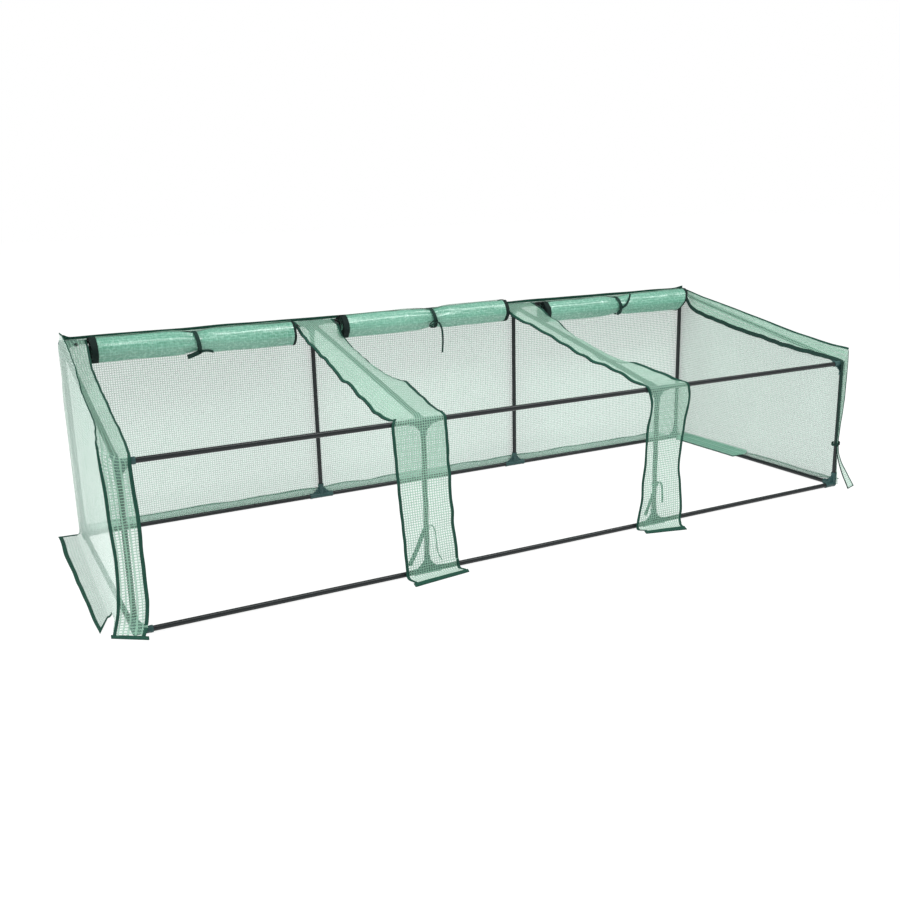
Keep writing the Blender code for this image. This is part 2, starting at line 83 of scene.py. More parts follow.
class Side(Enum):
    """An end of the tunnel, with its direction along X."""

    LEFT = -1
    RIGHT = 1


@dataclass(frozen=True)
class TunnelSizes:
    """The frame's tubes, how the film stands off them and where doors and zips run, in metres."""

    frame_xs: tuple[float, ...] = (-1.32, -0.44, 0.44, 1.32)
    front_y: float = -0.500
    back_y: float = 0.430
    base_z: float = 0.0105
    front_z: float = 0.484
    ridge_z: float = 0.681
    tube_radius: float = 0.008
    tube_wall: float = 0.0008
    tube_seat: float = 0.014
    socket_radius: float = 0.0105
    socket_length: float = 0.046
    film_offset: float = 0.0122
    film_thickness: float = 0.0004
    ridge_edge_y: float = 0.415
    roll_y: float = 0.370
    roll_z: float = 0.660
    door_travel: float = 0.828
    ground_z: float = 0.0008
    bend: float = 0.012
    zip_inset: float = 0.075
    end_zip_inset: float = 0.038

    @property
    def end_x(self) -> float:
        """Return the X of the right end frame."""
        return self.frame_xs[-1]

    @property
    def slope(self) -> float:
        """Return the roof's angle above level, in radians."""
        return math.atan2(self.ridge_z - self.front_z, self.back_y - self.front_y)

    @property
    def down(self) -> Array:
        """Return the unit direction down the slope."""
        return np.array([0.0, -math.cos(self.slope), -math.sin(self.slope)])

    @property
    def off(self) -> Array:
        """Return the unit direction square to the slope, upwards."""
        return np.array([0.0, -math.sin(self.slope), math.cos(self.slope)])

    def roof_z(self, y: Array | float) -> Array | float:
        """Return the height of the film's plane over the rafters at each Y."""
        rise = (y - self.front_y) * math.tan(self.slope)
        return self.front_z + rise + self.film_offset / math.cos(self.slope)


SIZES = TunnelSizes()


class Flow:
    """A shader socket that Python's operators act on; each operator adds a Math node."""

    def __init__(self, shader: "Shader", socket: bpy.types.NodeSocket) -> None:
        """Keep the shader that owns the socket, and the socket itself."""
        self.shader = shader
        self.socket = socket

    def math(self, operation: str, *others: Any) -> "Flow":
        """Return this value taken with the others through one Math node."""
        return self.shader.math(operation, self, *others)

    def __add__(self, other: Any) -> "Flow":
        """Return self + other."""
        return self.math("ADD", other)

    def __sub__(self, other: Any) -> "Flow":
        """Return self - other."""
        return self.math("SUBTRACT", other)

    def __rsub__(self, other: Any) -> "Flow":
        """Return other - self."""
        return self.shader.math("SUBTRACT", other, self)

    def __mul__(self, other: Any) -> "Flow":
        """Return self * other."""
        return self.math("MULTIPLY", other)

    def __truediv__(self, other: Any) -> "Flow":
        """Return self / other."""
        return self.math("DIVIDE", other)

    __radd__ = __add__
    __rmul__ = __mul__

    def cell(self, pitch: float) -> "Flow":
        """Return how near a repeating cell's border the value is: 0 at its middle, 1 at its border."""
        return ((self / pitch).math("FRACT") - 0.5).math("ABSOLUTE") * 2.0

    def step(self, low: float, high: float) -> "Flow":
        """Return a smooth step from 0 at low to 1 at high."""
        inputs = {"Value": self, "From Min": low, "From Max": high}
        return self.shader.flow("ShaderNodeMapRange", "Result", inputs, interpolation_type="SMOOTHSTEP")


class Shader:
    """The node tree of a new material or world."""

    def __init__(self, owner: bpy.types.Material | bpy.types.World) -> None:
        """Start with an empty tree."""
        self.owner = owner
        owner.use_nodes = True
        self.tree = owner.node_tree
        self.tree.nodes.clear()

    def node(self, kind: str, inputs: dict[Any, Any] | None = None, **settings: Any) -> bpy.types.Node:
        """Add a node.

        Args:
            kind: The node's type name.
            inputs: Socket names or numbers, each with a value, a Flow or a socket to link.
            **settings: Properties that are set before any socket.

        Returns:
            The node.
        """
        made = self.tree.nodes.new(kind)
        for key, value in settings.items():
            setattr(made, key, value)
        for key, value in (inputs or {}).items():
            if isinstance(value, Flow):
                value = value.socket
            if isinstance(value, bpy.types.NodeSocket):
                self.tree.links.new(value, made.inputs[key])
            elif made.inputs[key].type == "RGBA":
                made.inputs[key].default_value = (*value, 1.0)
            else:
                made.inputs[key].default_value = value
        return made

    def flow(self, kind: str, output: str | int, inputs: Any = None, **settings: Any) -> Flow:
        """Add a node and return one of its outputs."""
        return Flow(self, self.node(kind, inputs, **settings).outputs[output])

    def math(self, operation: str, *values: Any) -> Flow:
        """Return one Math node's result on the values."""
        return self.flow("ShaderNodeMath", 0, dict(enumerate(values)), operation=operation)

    def place(self, output: str) -> Flow:
        """Return a Texture Coordinate output, Object or UV."""
        return self.flow("ShaderNodeTexCoord", output)

    def rays(self, *kinds: str) -> Flow:
        """Return 1 for a ray of any of the kinds, such as Camera, and 0 for every other ray."""
        path = self.node("ShaderNodeLightPath")
        found, *others = [Flow(self, path.outputs[f"Is {kind} Ray"]) for kind in kinds]
        for other in others:
            found = found.math("MAXIMUM", other)
        return found

    def split(self, vector: Flow) -> list[Flow]:
        """Return a vector's three numbers."""
        parts = self.node("ShaderNodeSeparateXYZ", {0: vector})
        return [Flow(self, output) for output in parts.outputs]

    def noise(self, vector: Flow, scale: float, detail: float, stretch: Sequence[float] = (1, 1, 1)) -> Flow:
        """Return noise from 0 to 1 at a scale in waves per metre, with its axes stretched."""
        mapped = self.flow("ShaderNodeMapping", 0, {"Vector": vector, "Scale": stretch})
        return self.flow("ShaderNodeTexNoise", 0, {"Vector": mapped, "Scale": scale, "Detail": detail})

    def creases(self, vector: Flow, scale: float) -> Flow:
        """Return a network of sharp crease lines: the distance to the nearest cell border."""
        inputs = {"Vector": vector, "Scale": scale, "Randomness": 1.0}
        return self.flow("ShaderNodeTexVoronoi", "Distance", inputs, feature="DISTANCE_TO_EDGE")

    def mix(self, factor: Flow, first: Any, second: Any) -> Flow:
        """Return a colour that goes from the first to the second with the factor."""
        return self.flow("ShaderNodeMix", 2, {0: factor, 6: first, 7: second}, data_type="RGBA")

    def bump(self, height: Flow, distance: float, strength: float, normal: Flow | None = None) -> Flow:
        """Return the normal of a surface whose height is given in units of the distance."""
        inputs = {"Height": height, "Distance": distance, "Strength": strength}
        if normal:
            inputs["Normal"] = normal
        return self.flow("ShaderNodeBump", 0, inputs)


@dataclass(frozen=True)
class Finish:
    """A named finish that makes its material once."""

    name: str

    def sockets(self, shader: Shader) -> dict[str, Any]:
        """Return what goes into the sockets of the Principled shader."""
        raise NotImplementedError

    def material(self) -> bpy.types.Material:
        """Return the finish's material, made on first use."""
        found = bpy.data.materials.get(self.name)
        if found:
            return found
        shader = Shader(bpy.data.materials.new(self.name))
        shaded = shader.node("ShaderNodeBsdfPrincipled", self.sockets(shader))
        shader.node("ShaderNodeOutputMaterial", {"Surface": shaded.outputs[0]})
        return shader.owner


@dataclass(frozen=True)
class ScrimFilm(Finish):
    """Clear green film laid on a woven grid of flat threads, with crinkles from folding.

    UVs are in metres of flat cloth. A pale thread runs along each border of a square grid, with
    a darker weld line along both its sides. The alphas are those of one face of the film, and a
    sheet has two. Sparkle is how much small glints break up the film's gloss; the same glints are
    also painted into the base colour as pale flecks, a painted highlight. The ground tint is how
    much denser and greener the film looks where it lies folded on the ground.
    """

    window: Colour = (0.38, 0.70, 0.54)
    thread: Colour = (0.35, 0.61, 0.47)
    weld: Colour = (0.19, 0.34, 0.26)
    window_alpha: float = 0.14
    thread_alpha: float = 0.58
    weld_alpha: float = 0.70
    pitch: float = 0.0080
    thread_share: float = 0.23
    weld_share: float = 0.10
    crinkle: float = 0.0016
    roughness: float = 0.34
    specular: float = 0.5
    gloss: float = 0.15
    coat_roughness: float = 0.20
    sparkle: float = 0.0
    ground_tint: float = 0.0

    def sockets(self, shader: Shader) -> dict[str, Any]:
        """Return the film's sockets."""
        flat, place = shader.place("UV"), shader.place("Object")
        along, across, _ = shader.split(flat)
        above_ground = shader.split(place)[2]
        edge = 1.0 - self.thread_share
        wander = shader.noise(flat, 60.0, 1.0) * 0.0008
        nearest = (along + wander).cell(self.pitch).math("MAXIMUM", (across + wander).cell(self.pitch))
        thread = nearest.step(edge - 0.03, edge + 0.05)
        covered = nearest.step(edge - self.weld_share - 0.04, edge - self.weld_share + 0.04)
        weld = covered * (1.0 - thread)
        cloud = shader.noise(place, 3.0, 3.0)
        lines = 1.0 - shader.creases(place, 7.0).step(0.0, 0.08)
        creased = lines * cloud.step(0.52, 0.68)
        fine = shader.noise(place, 26.0, 4.0)
        glint = shader.noise(flat, 150.0, 2.0, (0.6, 1.0, 1.0)).step(0.47, 0.62) * self.sparkle
        base = shader.mix(weld, shader.mix(thread, self.window, self.thread), self.weld)
        pale = tuple(min(1.0, part * 1.2) for part in self.thread)
        ground = (1.0 - above_ground.step(0.006, 0.018)) * self.ground_tint
        tinted = shader.mix(cloud.step(0.35, 0.75) * 0.3, base, pale)
        tinted = shader.mix(ground, tinted, (0.32, 0.64, 0.50))
        lift = thread * (self.thread_alpha - self.window_alpha)
        lift = lift + weld * (self.weld_alpha - self.window_alpha)
        height = fine * 0.45 - creased * 0.55 + glint * 0.3
        crease = shader.bump(height, self.crinkle, 0.55)
        return {
            # Pale flecks at the glints are a painted highlight in the base colour; the coat weight below
            # adds real gloss there too.
            "Base Color": shader.mix(glint * 0.45, tinted, pale),
            "Specular IOR Level": self.specular,
            "Roughness": self.roughness + fine * 0.14 - thread * 0.05,
            "Alpha": self.window_alpha + lift + cloud * 0.022 + creased * 0.02 + ground * 0.5,
            "Coat Weight": glint + self.gloss,
            "Coat Roughness": self.coat_roughness,
            "Normal": shader.bump(covered, 0.0002, 0.6, crease),
        }


@dataclass(frozen=True)
class WovenTape(Finish):
    """Flat woven edging tape: fine ribs across it, paler worn patches and stitching each side of its middle.

    UVs are in metres, U along the tape and V across it from its middle.
    """

    colour: Colour = (0.010, 0.068, 0.045)
    rib_pitch: float = 0.0016
    half_width: float = 0.0042
    stitch_pitch: float = 0.0045

    def sockets(self, shader: Shader) -> dict[str, Any]:
        """Return the tape's sockets."""
        flat, place = shader.place("UV"), shader.place("Object")
        along, across, _ = shader.split(flat)
        rib = along.cell(self.rib_pitch)
        warp = across.cell(self.rib_pitch * 0.8)
        from_middle = across.math("ABSOLUTE") / self.half_width
        seam = 1.0 - (from_middle - 0.45).math("ABSOLUTE").step(0.05, 0.11)
        dash = along.cell(self.stitch_pitch).step(0.25, 0.4)
        stitch = seam * dash
        worn = shader.noise(place, 45.0, 4.0)
        dark = tuple(part * 0.5 for part in self.colour)
        pale = tuple(part * 1.5 + 0.004 for part in self.colour)
        ribbed = shader.mix(rib * 0.6, self.colour, dark)
        aged = shader.mix(worn.step(0.45, 0.8) * 0.35, ribbed, pale)
        sewn = shader.mix(stitch * 0.6, aged, tuple(part * 2.2 + 0.012 for part in self.colour))
        height = rib * 0.5 + warp * 0.3 - seam * 0.8 + stitch * 0.9
        return {
            "Base Color": sewn,
            "Roughness": 0.66 + worn * 0.2 - stitch * 0.15,
            "Specular IOR Level": 0.25,
            "Normal": shader.bump(height, 0.00035, 0.7),
        }


@dataclass(frozen=True)
class PowderCoat(Finish):
    """Satin dark powder coat on steel tube, with a fine orange-peel grain and rubbed spots."""

    colour: Colour = (0.010, 0.014, 0.015)
    rubbed: Colour = (0.040, 0.048, 0.050)

    def sockets(self, shader: Shader) -> dict[str, Any]:
        """Return the coat's sockets."""
        place = shader.place("Object")
        grain = shader.noise(place, 900.0, 2.0)
        cloud = shader.noise(place, 11.0, 5.0)
        wear = shader.noise(place, 65.0, 5.0).step(0.60, 0.74) * cloud.step(0.40, 0.62)
        return {
            "Base Color": shader.mix(wear * 0.55 + cloud * 0.15, self.colour, self.rubbed),
            "Roughness": 0.30 + grain * 0.14 + wear * 0.16,
            "Metallic": 0.12 + wear * 0.3,
            "Specular IOR Level": 0.42,
            "Normal": shader.bump(grain, 0.00012, 0.5),
        }


@dataclass(frozen=True)
class MouldedPlastic(Finish):
    """Matte dark green moulded plastic with a spark-eroded grain and faint flow marks."""

    colour: Colour = (0.016, 0.066, 0.064)
    flow: Colour = (0.032, 0.100, 0.095)

    def sockets(self, shader: Shader) -> dict[str, Any]:
        """Return the plastic's sockets."""
        place = shader.place("Object")
        grain = shader.noise(place, 1300.0, 2.0)
        marks = shader.noise(place, 40.0, 3.0, (1, 1, 0.35))
        scuff = shader.noise(place, 150.0, 5.0).step(0.62, 0.75)
        return {
            "Base Color": shader.mix(marks.step(0.3, 0.8) * 0.6 + scuff * 0.4, self.colour, self.flow),
            "Roughness": 0.44 + grain * 0.16 + scuff * 0.12,
            "Normal": shader.bump(grain + scuff * -0.6, 0.00012, 0.6),
        }


@dataclass(frozen=True)
class PaintedZip(Finish):
    """Dark painted zip metal, rubbed to bare metal where fingers and teeth touch it."""

    colour: Colour = (0.020, 0.034, 0.033)
    bare: Colour = (0.42, 0.43, 0.42)

    def sockets(self, shader: Shader) -> dict[str, Any]:
        """Return the metal's sockets."""
        place = shader.place("Object")
        rub = shader.noise(place, 420.0, 4.0).step(0.56, 0.70)
        grain = shader.noise(place, 2600.0, 2.0)
        return {
            "Base Color": shader.mix(rub * 0.7, self.colour, self.bare),
            "Roughness": 0.34 + grain * 0.2,
            "Metallic": 0.25 + rub * 0.7,
            "Normal": shader.bump(grain - rub * 0.5, 0.00005, 0.5),
        }


COVER = ScrimFilm("cover_film_scrim")
WALL = ScrimFilm(
    "wall_film_scrim",
    window=(0.33, 0.62, 0.51),
    thread=(0.40, 0.60, 0.49),
    weld=(0.22, 0.38, 0.30),
    window_alpha=0.17,
    thread_alpha=0.46,
    weld_alpha=0.54,
    weld_share=0.08,
    ground_tint=0.36,
)
END_WALL = ScrimFilm(
    "end_wall_film_scrim",
    window=(0.39, 0.53, 0.46),
    thread=(0.45, 0.62, 0.54),
    weld=(0.20, 0.33, 0.26),
    window_alpha=0.30,
    thread_alpha=0.50,
    weld_alpha=0.58,
)
ROLLED = ScrimFilm(
    "rolled_door_film",
    window=(0.080, 0.31, 0.20),
    thread=(0.22, 0.51, 0.385),
    weld=(0.045, 0.20, 0.12),
    window_alpha=0.94,
    thread_alpha=0.97,
    weld_alpha=0.97,
    crinkle=0.0042,
    roughness=0.24,
    specular=1.0,
    gloss=0.35,
    coat_roughness=0.30,
    # Full sparkle: the glints break up the gloss and are also painted into the base colour as pale highlight
    # flecks.
    sparkle=1.0,
)
FOLDED = ScrimFilm(
    "folded_film",
    window=(0.24, 0.53, 0.40),
    thread=(0.33, 0.62, 0.48),
    weld=(0.13, 0.32, 0.24),
    window_alpha=0.46,
    thread_alpha=0.68,
    weld_alpha=0.76,
)
EDGING = WovenTape("edging_tape")
ZIP_TAPE = WovenTape("zip_tape", colour=(0.004, 0.017, 0.014), half_width=0.009)
TIE_TAPE = WovenTape("tie_tape", colour=(0.008, 0.038, 0.028), half_width=0.005)
POST_TAPE = WovenTape("post_tie_tape", colour=(0.020, 0.110, 0.078), half_width=0.006)
COAT = PowderCoat("satin_powder_coat")
MOULDED = MouldedPlastic("moulded_green_plastic")
ZIP_METAL = PaintedZip("painted_zip_metal")


def unit(vectors: Array) -> Array:
    """Return the vectors at length one."""
    return vectors / np.maximum(np.linalg.norm(vectors, axis=-1, keepdims=True), 1e-12)


def clamp(value: Array) -> Array:
    """Return the value held between 0 and 1."""
    return np.clip(value, 0, 1)


def stacked(*parts: Array | float) -> Array:
    """Return numbers broadcast together and stacked along a new last axis."""
    return np.stack(np.broadcast_arrays(*parts), axis=-1)


def spread(surface: Surface, rows: Array, columns: Array) -> Array:
    """Return a surface's points where each of the rows meets each of the columns."""
    return surface(*np.meshgrid(rows, columns, indexing="ij"))


def table(rows: Sequence[Sequence[float]], places: Array, soft: float = 0.0) -> Array:
    """Read a table of rows (place, value, ...) at each place, its corners rounded.

    Each value is the straight-line reading averaged over places up to soft away on both sides.

    Args:
        rows: The table, with its places in rising order.
        places: Where to read it.
        soft: The half width of the averaging.

    Returns:
        An array with one last axis for the values.
    """
    first, *columns = np.array(rows, float).T
    shifts = np.linspace(-soft, soft, 9 if soft else 1)
    read = [[np.interp(places + shift, first, column) for shift in shifts] for column in columns]
    return np.stack([np.mean(values, axis=0) for values in read], axis=-1)


def plane_waves(
    first: Array, second: Array, seed: int, length: float, longest: float, count: int
) -> list[tuple[Array, float, float]]:
    """Return random plane waves: the way gone in each one's direction, its length and its phase."""
    draw = np.random.default_rng(seed)
    turns = draw.uniform(0, math.pi, count)
    sizes = length * draw.uniform(0.6, longest, count)
    phases = draw.uniform(0, 2 * math.pi, count)
    ways = [first * math.cos(turn) + second * math.sin(turn) for turn in turns]
    return list(zip(ways, sizes, phases))


def ripple(first: Array, second: Array, seed: int, length: float) -> Array:
    """Return soft cloth waves between -1 and 1: a mean of six sine waves in random directions."""
    waves = plane_waves(first, second, seed, length, 1.7, 6)
    return sum(np.sin(2 * math.pi * way / size + phase) for way, size, phase in waves) / len(waves) * 1.6


def crumple(first: Array, second: Array, seed: int, length: float) -> Array:
    """Return sharp creases between 0 and 1: a mean of 1 - |sine| ridges in five directions."""
    waves = plane_waves(first, second, seed, length, 1.8, 5)
    bend = 0.4 * ripple(first, second, seed + 1, length * 2.2)
    ridges = [1 - np.abs(np.sin(math.pi * way / size + phase + bend)) for way, size, phase in waves]
    return sum(ridges) / len(waves)


def run_lengths(points: Array) -> Array:
    """Return the distance along a path (n, 3) or (n, 2) at each of its points."""
    steps = np.linalg.norm(np.diff(points, axis=0), axis=-1)
    return np.concatenate([[0.0], np.cumsum(steps)])


def read_path(points: Array, lengths: Array, places: Array) -> Array:
    """Return a path's points at some places, where its own points lie at the lengths."""
    return np.stack([np.interp(places, lengths, column) for column in points.T], axis=1)


def resample(points: Array, count: int) -> Array:
    """Return a path's points evenly spaced, after its corners are cut.

    Each of two rounds puts points at a quarter and three quarters of every step and keeps the
    two ends.
    """
    path = np.array(points, float)
    for _ in range(2):
        low = path[:-1] * 0.75 + path[1:] * 0.25
        high = path[:-1] * 0.25 + path[1:] * 0.75
        middle = np.stack([low, high], axis=1).reshape(-1, path.shape[1])
        path = np.concatenate([path[:1], middle, path[-1:]])
    lengths = run_lengths(path)
    return read_path(path, lengths, np.linspace(0, lengths[-1], count))


@dataclass
class Patch:
    """Part of a mesh: its points, its faces as arrays of corner numbers, and their UVs."""

    points: Array
    faces: list[Array]
    uvs: list[Array]


def grid(points: Array, uv: Array, wrap_rows: bool = False, wrap_columns: bool = False) -> Patch:
    """Join a grid of points with four-sided faces.

    Args:
        points: Points of shape (rows, columns, 3).
        uv: UVs of shape (rows, columns, 2), one longer along an axis that wraps.
        wrap_rows: Whether the last row joins the first.
        wrap_columns: Whether the last column joins the first.

    Returns:
        The patch.
    """
    rows, columns = points.shape[:2]
    row = np.arange(rows - 1 + wrap_rows)[:, None]
    column = np.arange(columns - 1 + wrap_columns)[None, :]
    corners = [(row, column), (row + 1, column), (row + 1, column + 1), (row, column + 1)]
    shape = (row.size, column.size)
    faces = [np.broadcast_to((a % rows) * columns + b % columns, shape) for a, b in corners]
    uvs = [uv[a, b] for a, b in corners]
    return Patch(
        points.reshape(-1, 3),
        [np.stack(faces, axis=-1).reshape(-1, 4)],
        [np.stack(uvs, axis=2).reshape(-1, 4, 2)],
    )


def capped(patch: Patch, size: int) -> Patch:
    """Close a tube of rings of that many points with a flat face at its first and last ring."""
    ring = np.arange(size)
    for face in (ring[::-1], ring + len(patch.points) - size):
        patch.faces.append(face[None, :])
        patch.uvs.append(np.zeros((1, size, 2)))
    return patch


def band(lines: Array, thickness: float) -> Patch:
    """Thicken a narrow ribbon of points into a closed tape with rounded edges.

    The lines are (n, k, 3): n places along the tape and k across it. Each point moves both ways
    along the ribbon's normal by half the thickness times a height that falls from 1 at the
    middle to 0.35 at the edges.

    Args:
        lines: The ribbon.
        thickness: The tape's thickness at its middle.

    Returns:
        A closed patch with U along the tape and V across it from its middle, in metres.
    """
    across = lines.shape[1]
    normals = unit(np.cross(np.gradient(lines, axis=0), np.gradient(lines, axis=1)))
    share = np.linspace(-1, 1, across)
    height = 0.5 * thickness * (0.35 + 0.65 * np.sqrt(1 - share**4))
    top = lines + normals * height[None, :, None]
    low = lines - normals * height[None, :, None]
    ring = np.concatenate([top, low[:, ::-1]], axis=1)
    along = run_lengths(lines[:, across // 2])
    width = np.linalg.norm(lines[:, -1] - lines[:, 0], axis=-1).mean()
    places = np.concatenate([share, share[::-1], share[:1]]) * width / 2
    return capped(grid(ring, stacked(along[:, None], places[None, :]), wrap_columns=True), 2 * across)


def tape(path: Array, aside: Array, width: float, thickness: float) -> Patch:
    """Make a tape that runs along a path and lies along the aside directions."""
    share = np.linspace(-0.5, 0.5, 5)
    return band(path[:, None, :] + aside[:, None, :] * (share * width)[None, :, None], thickness)


def revolve(profile: Array, start: Array, axis: Array, sides: int, closed: bool = True) -> Patch:
    """Turn a profile of (distance along, radius) about an axis.

    Args:
        profile: Rows of distance along the axis and radius.
        start: The point where the distance is zero.
        axis: The axis direction, at length one.
        sides: How many points go round.
        closed: Whether the profile is a loop; if not, both ends get a flat cap.

    Returns:
        The patch, with U round the axis and V along the profile, in metres.
    """
    helper = UP if abs(axis[2]) < 0.9 else RIGHT
    first = unit(np.cross(axis, helper))
    second = np.cross(axis, first)
    turn = np.linspace(0, 2 * math.pi, sides, endpoint=False)
    round_way = np.cos(turn)[:, None] * first + np.sin(turn)[:, None] * second
    points = start + profile[:, None, :1] * axis + profile[:, None, 1:] * round_way[None]
    around = np.linspace(0, 1, sides + 1) * 2 * math.pi * profile[:, 1].max()
    loop = np.concatenate([profile, profile[:1]]) if closed else profile
    uv = stacked(around[None, :], run_lengths(loop)[:, None])
    patch = grid(points, uv, wrap_rows=closed, wrap_columns=True)
    return patch if closed else capped(patch, sides)


def plate(outline: Array, origin: Array, first: Array, second: Array, thickness: float) -> Patch:
    """Make a flat plate from an outline (n, 2) in the plane of two directions."""
    square = np.cross(first, second)
    middle = origin + outline[:, :1] * first + outline[:, 1:] * second
    points = np.stack([middle - square * thickness / 2, middle + square * thickness / 2])
    uv = np.zeros((2, len(outline) + 1, 2))
    uv[:, :, 0] = run_lengths(np.concatenate([middle, middle[:1]]))
    uv[1, :, 1] = thickness
    return capped(grid(points, uv, wrap_columns=True), len(outline))


def mesh_object(
    name: str, patches: Sequence[Patch], finish: Finish, angle: float = 40.0, sheet: bool = False
) -> bpy.types.Object:
    """Make an object from patches.

    Args:
        name: The object's name.
        patches: The patches that make it.
        finish: Its finish.
        angle: The angle in degrees past which an edge is sharp.
        sheet: Whether it is open, with the points where its patches meet merged. If not, it is
            closed, and its faces are turned outwards.

    Returns:
        The object, at the origin.
    """
    points: list[Array] = []
    faces: list[list[int]] = []
    uvs: list[Array] = []
    start = 0
    for patch in patches:
        points.append(patch.points)
        for corners, places in zip(patch.faces, patch.uvs):
            faces.extend((corners + start).tolist())
            uvs.append(places.reshape(-1, 2))
        start += len(patch.points)
    mesh = bpy.data.meshes.new(name)
    mesh.from_pydata(np.concatenate(points).tolist(), [], faces)
    layer = mesh.uv_layers.new(name="UVMap")
    layer.data.foreach_set("uv", np.concatenate(uvs).astype(np.float32).ravel())
    shape = bmesh.new()
    shape.from_mesh(mesh)
    if sheet:
        bmesh.ops.remove_doubles(shape, verts=shape.verts, dist=0.00002)
    else:
        bmesh.ops.recalc_face_normals(shape, faces=shape.faces)
    shape.to_mesh(mesh)
    shape.free()
    mesh.polygons.foreach_set("use_smooth", np.ones(len(mesh.polygons), bool))
    mesh.set_sharp_from_angle(angle=math.radians(angle))
    mesh.materials.append(finish.material())
    mesh.update()
    obj = bpy.data.objects.new(name, mesh)
    bpy.context.scene.collection.objects.link(obj)
    return obj


def thicken(obj: bpy.types.Object, thickness: float) -> None:
    """Give a sheet its thickness, half on each side."""
    solid = obj.modifiers.new("thickness", "SOLIDIFY")
    solid.thickness = thickness
    solid.offset = 0.0


def add_piece(
    name: str,
    patches: Sequence[Patch],
    finish: Finish,
    body: str = "root",
    stands_for: Sequence[str] = (),
    angle: float = 40.0,
) -> bpy.types.Object:
    """Make a closed piece that rides on a body and may replace CAD nodes."""
    obj = mesh_object(name, patches, finish, angle)
    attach(obj, body)
    if stands_for:
        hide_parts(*stands_for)
    LOG.info("%s: %d faces on %s", name, len(obj.data.polygons), body)
    return obj


def add_cloth(
    name: str,
    patches: Sequence[Patch],
    finish: Finish,
    flat: tuple[float, float],
    trims: Sequence[bpy.types.Object] = (),
    body: str = "root",
    stands_for: Sequence[str] = (),
    blend: tuple[str, Array, Array] | None = None,
) -> bpy.types.Object:
    """Args:
        name: The piece's name.
        patches: The film's middle surface.
        finish: Its finish.
        flat: The width and length it was cut to. Not used.
        trims: The pieces sewn to it.
        body: The body it rides on.
        stands_for: The CAD nodes that it replaces.
        blend: The body it reaches to and the points at its ends; these are not read. If it is given, the
        sheet and its trims are baked in place and ride on no body.

    Returns:
        The sheet.
    """
    obj = mesh_object(name, patches, finish, 70.0, sheet=True)
    thicken(obj, SIZES.film_thickness)
    if blend:
        for piece in (obj, *trims):
            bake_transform(piece)
    else:
        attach(obj, body)
    if stands_for:
        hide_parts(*stands_for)
    LOG.info("%s: %d faces of film on %s", name, len(obj.data.polygons), body)
    return obj


@dataclass(frozen=True)
class TubeFrame:
    """The uprights, rafters and rails: hollow round tube, pushed into the connectors."""

    sizes: TunnelSizes = SIZES
    sides: int = 28
    chamfer: float = 0.0003

    def joints(self) -> dict[str, list[Array]]:
        """Return the centres where tubes meet, by kind, one for each cross frame."""
        s = self.sizes
        places = {
            "front_base": (s.front_y, s.base_z),
            "back_base": (s.back_y, s.base_z),
            "front_top": (s.front_y, s.front_z),
            "back_top": (s.back_y, s.ridge_z),
        }
        return {kind: [np.array([x, y, z]) for x in s.frame_xs] for kind, (y, z) in places.items()}

    def tube(self, name: str, start: Array, end: Array) -> None:
        """Make one tube between two joints: a ring profile turned about its axis."""
        s = self.sizes
        axis = unit(end - start)
        low, high = s.tube_seat, np.linalg.norm(end - start) - s.tube_seat
        outer, inner, cut = s.tube_radius, s.tube_radius - s.tube_wall, self.chamfer
        profile = np.array(
            [
                (low, inner),
                (low, outer - cut),
                (low + cut, outer),
                *[(low + (high - low) * share, outer) for share in (0.25, 0.5, 0.75)],
                (high - cut, outer),
                (high, outer - cut),
                (high, inner),
            ]
        )
        patch = revolve(profile, start, axis, self.sides)
        add_piece(f"{name}_tube", [patch], COAT, stands_for=[name])

    def build(self) -> None:
        """Make every tube of the frame."""
        joints = self.joints()
        bays = len(self.sizes.frame_xs) - 1
        for index in range(bays + 1):
            number = index + 1
            self.tube(f"front_upright_{number}", joints["front_base"][index], joints["front_top"][index])
            self.tube(f"back_upright_{number}", joints["back_base"][index], joints["back_top"][index])
            self.tube(f"rafter_{number}", joints["front_top"][index], joints["back_top"][index])
        runs = {
            "front_base": "front_base_rail",
            "back_base": "back_base_rail",
            "front_top": "front_top_rail",
            "back_top": "ridge_tube",
        }
        for kind, name in runs.items():
            for index in range(bays):
                self.tube(f"{name}_{index + 1}", joints[kind][index], joints[kind][index + 1])
        self.tube("left_base_rail", joints["front_base"][0], joints["back_base"][0])
        self.tube("right_base_rail", joints["front_base"][-1], joints["back_base"][-1])


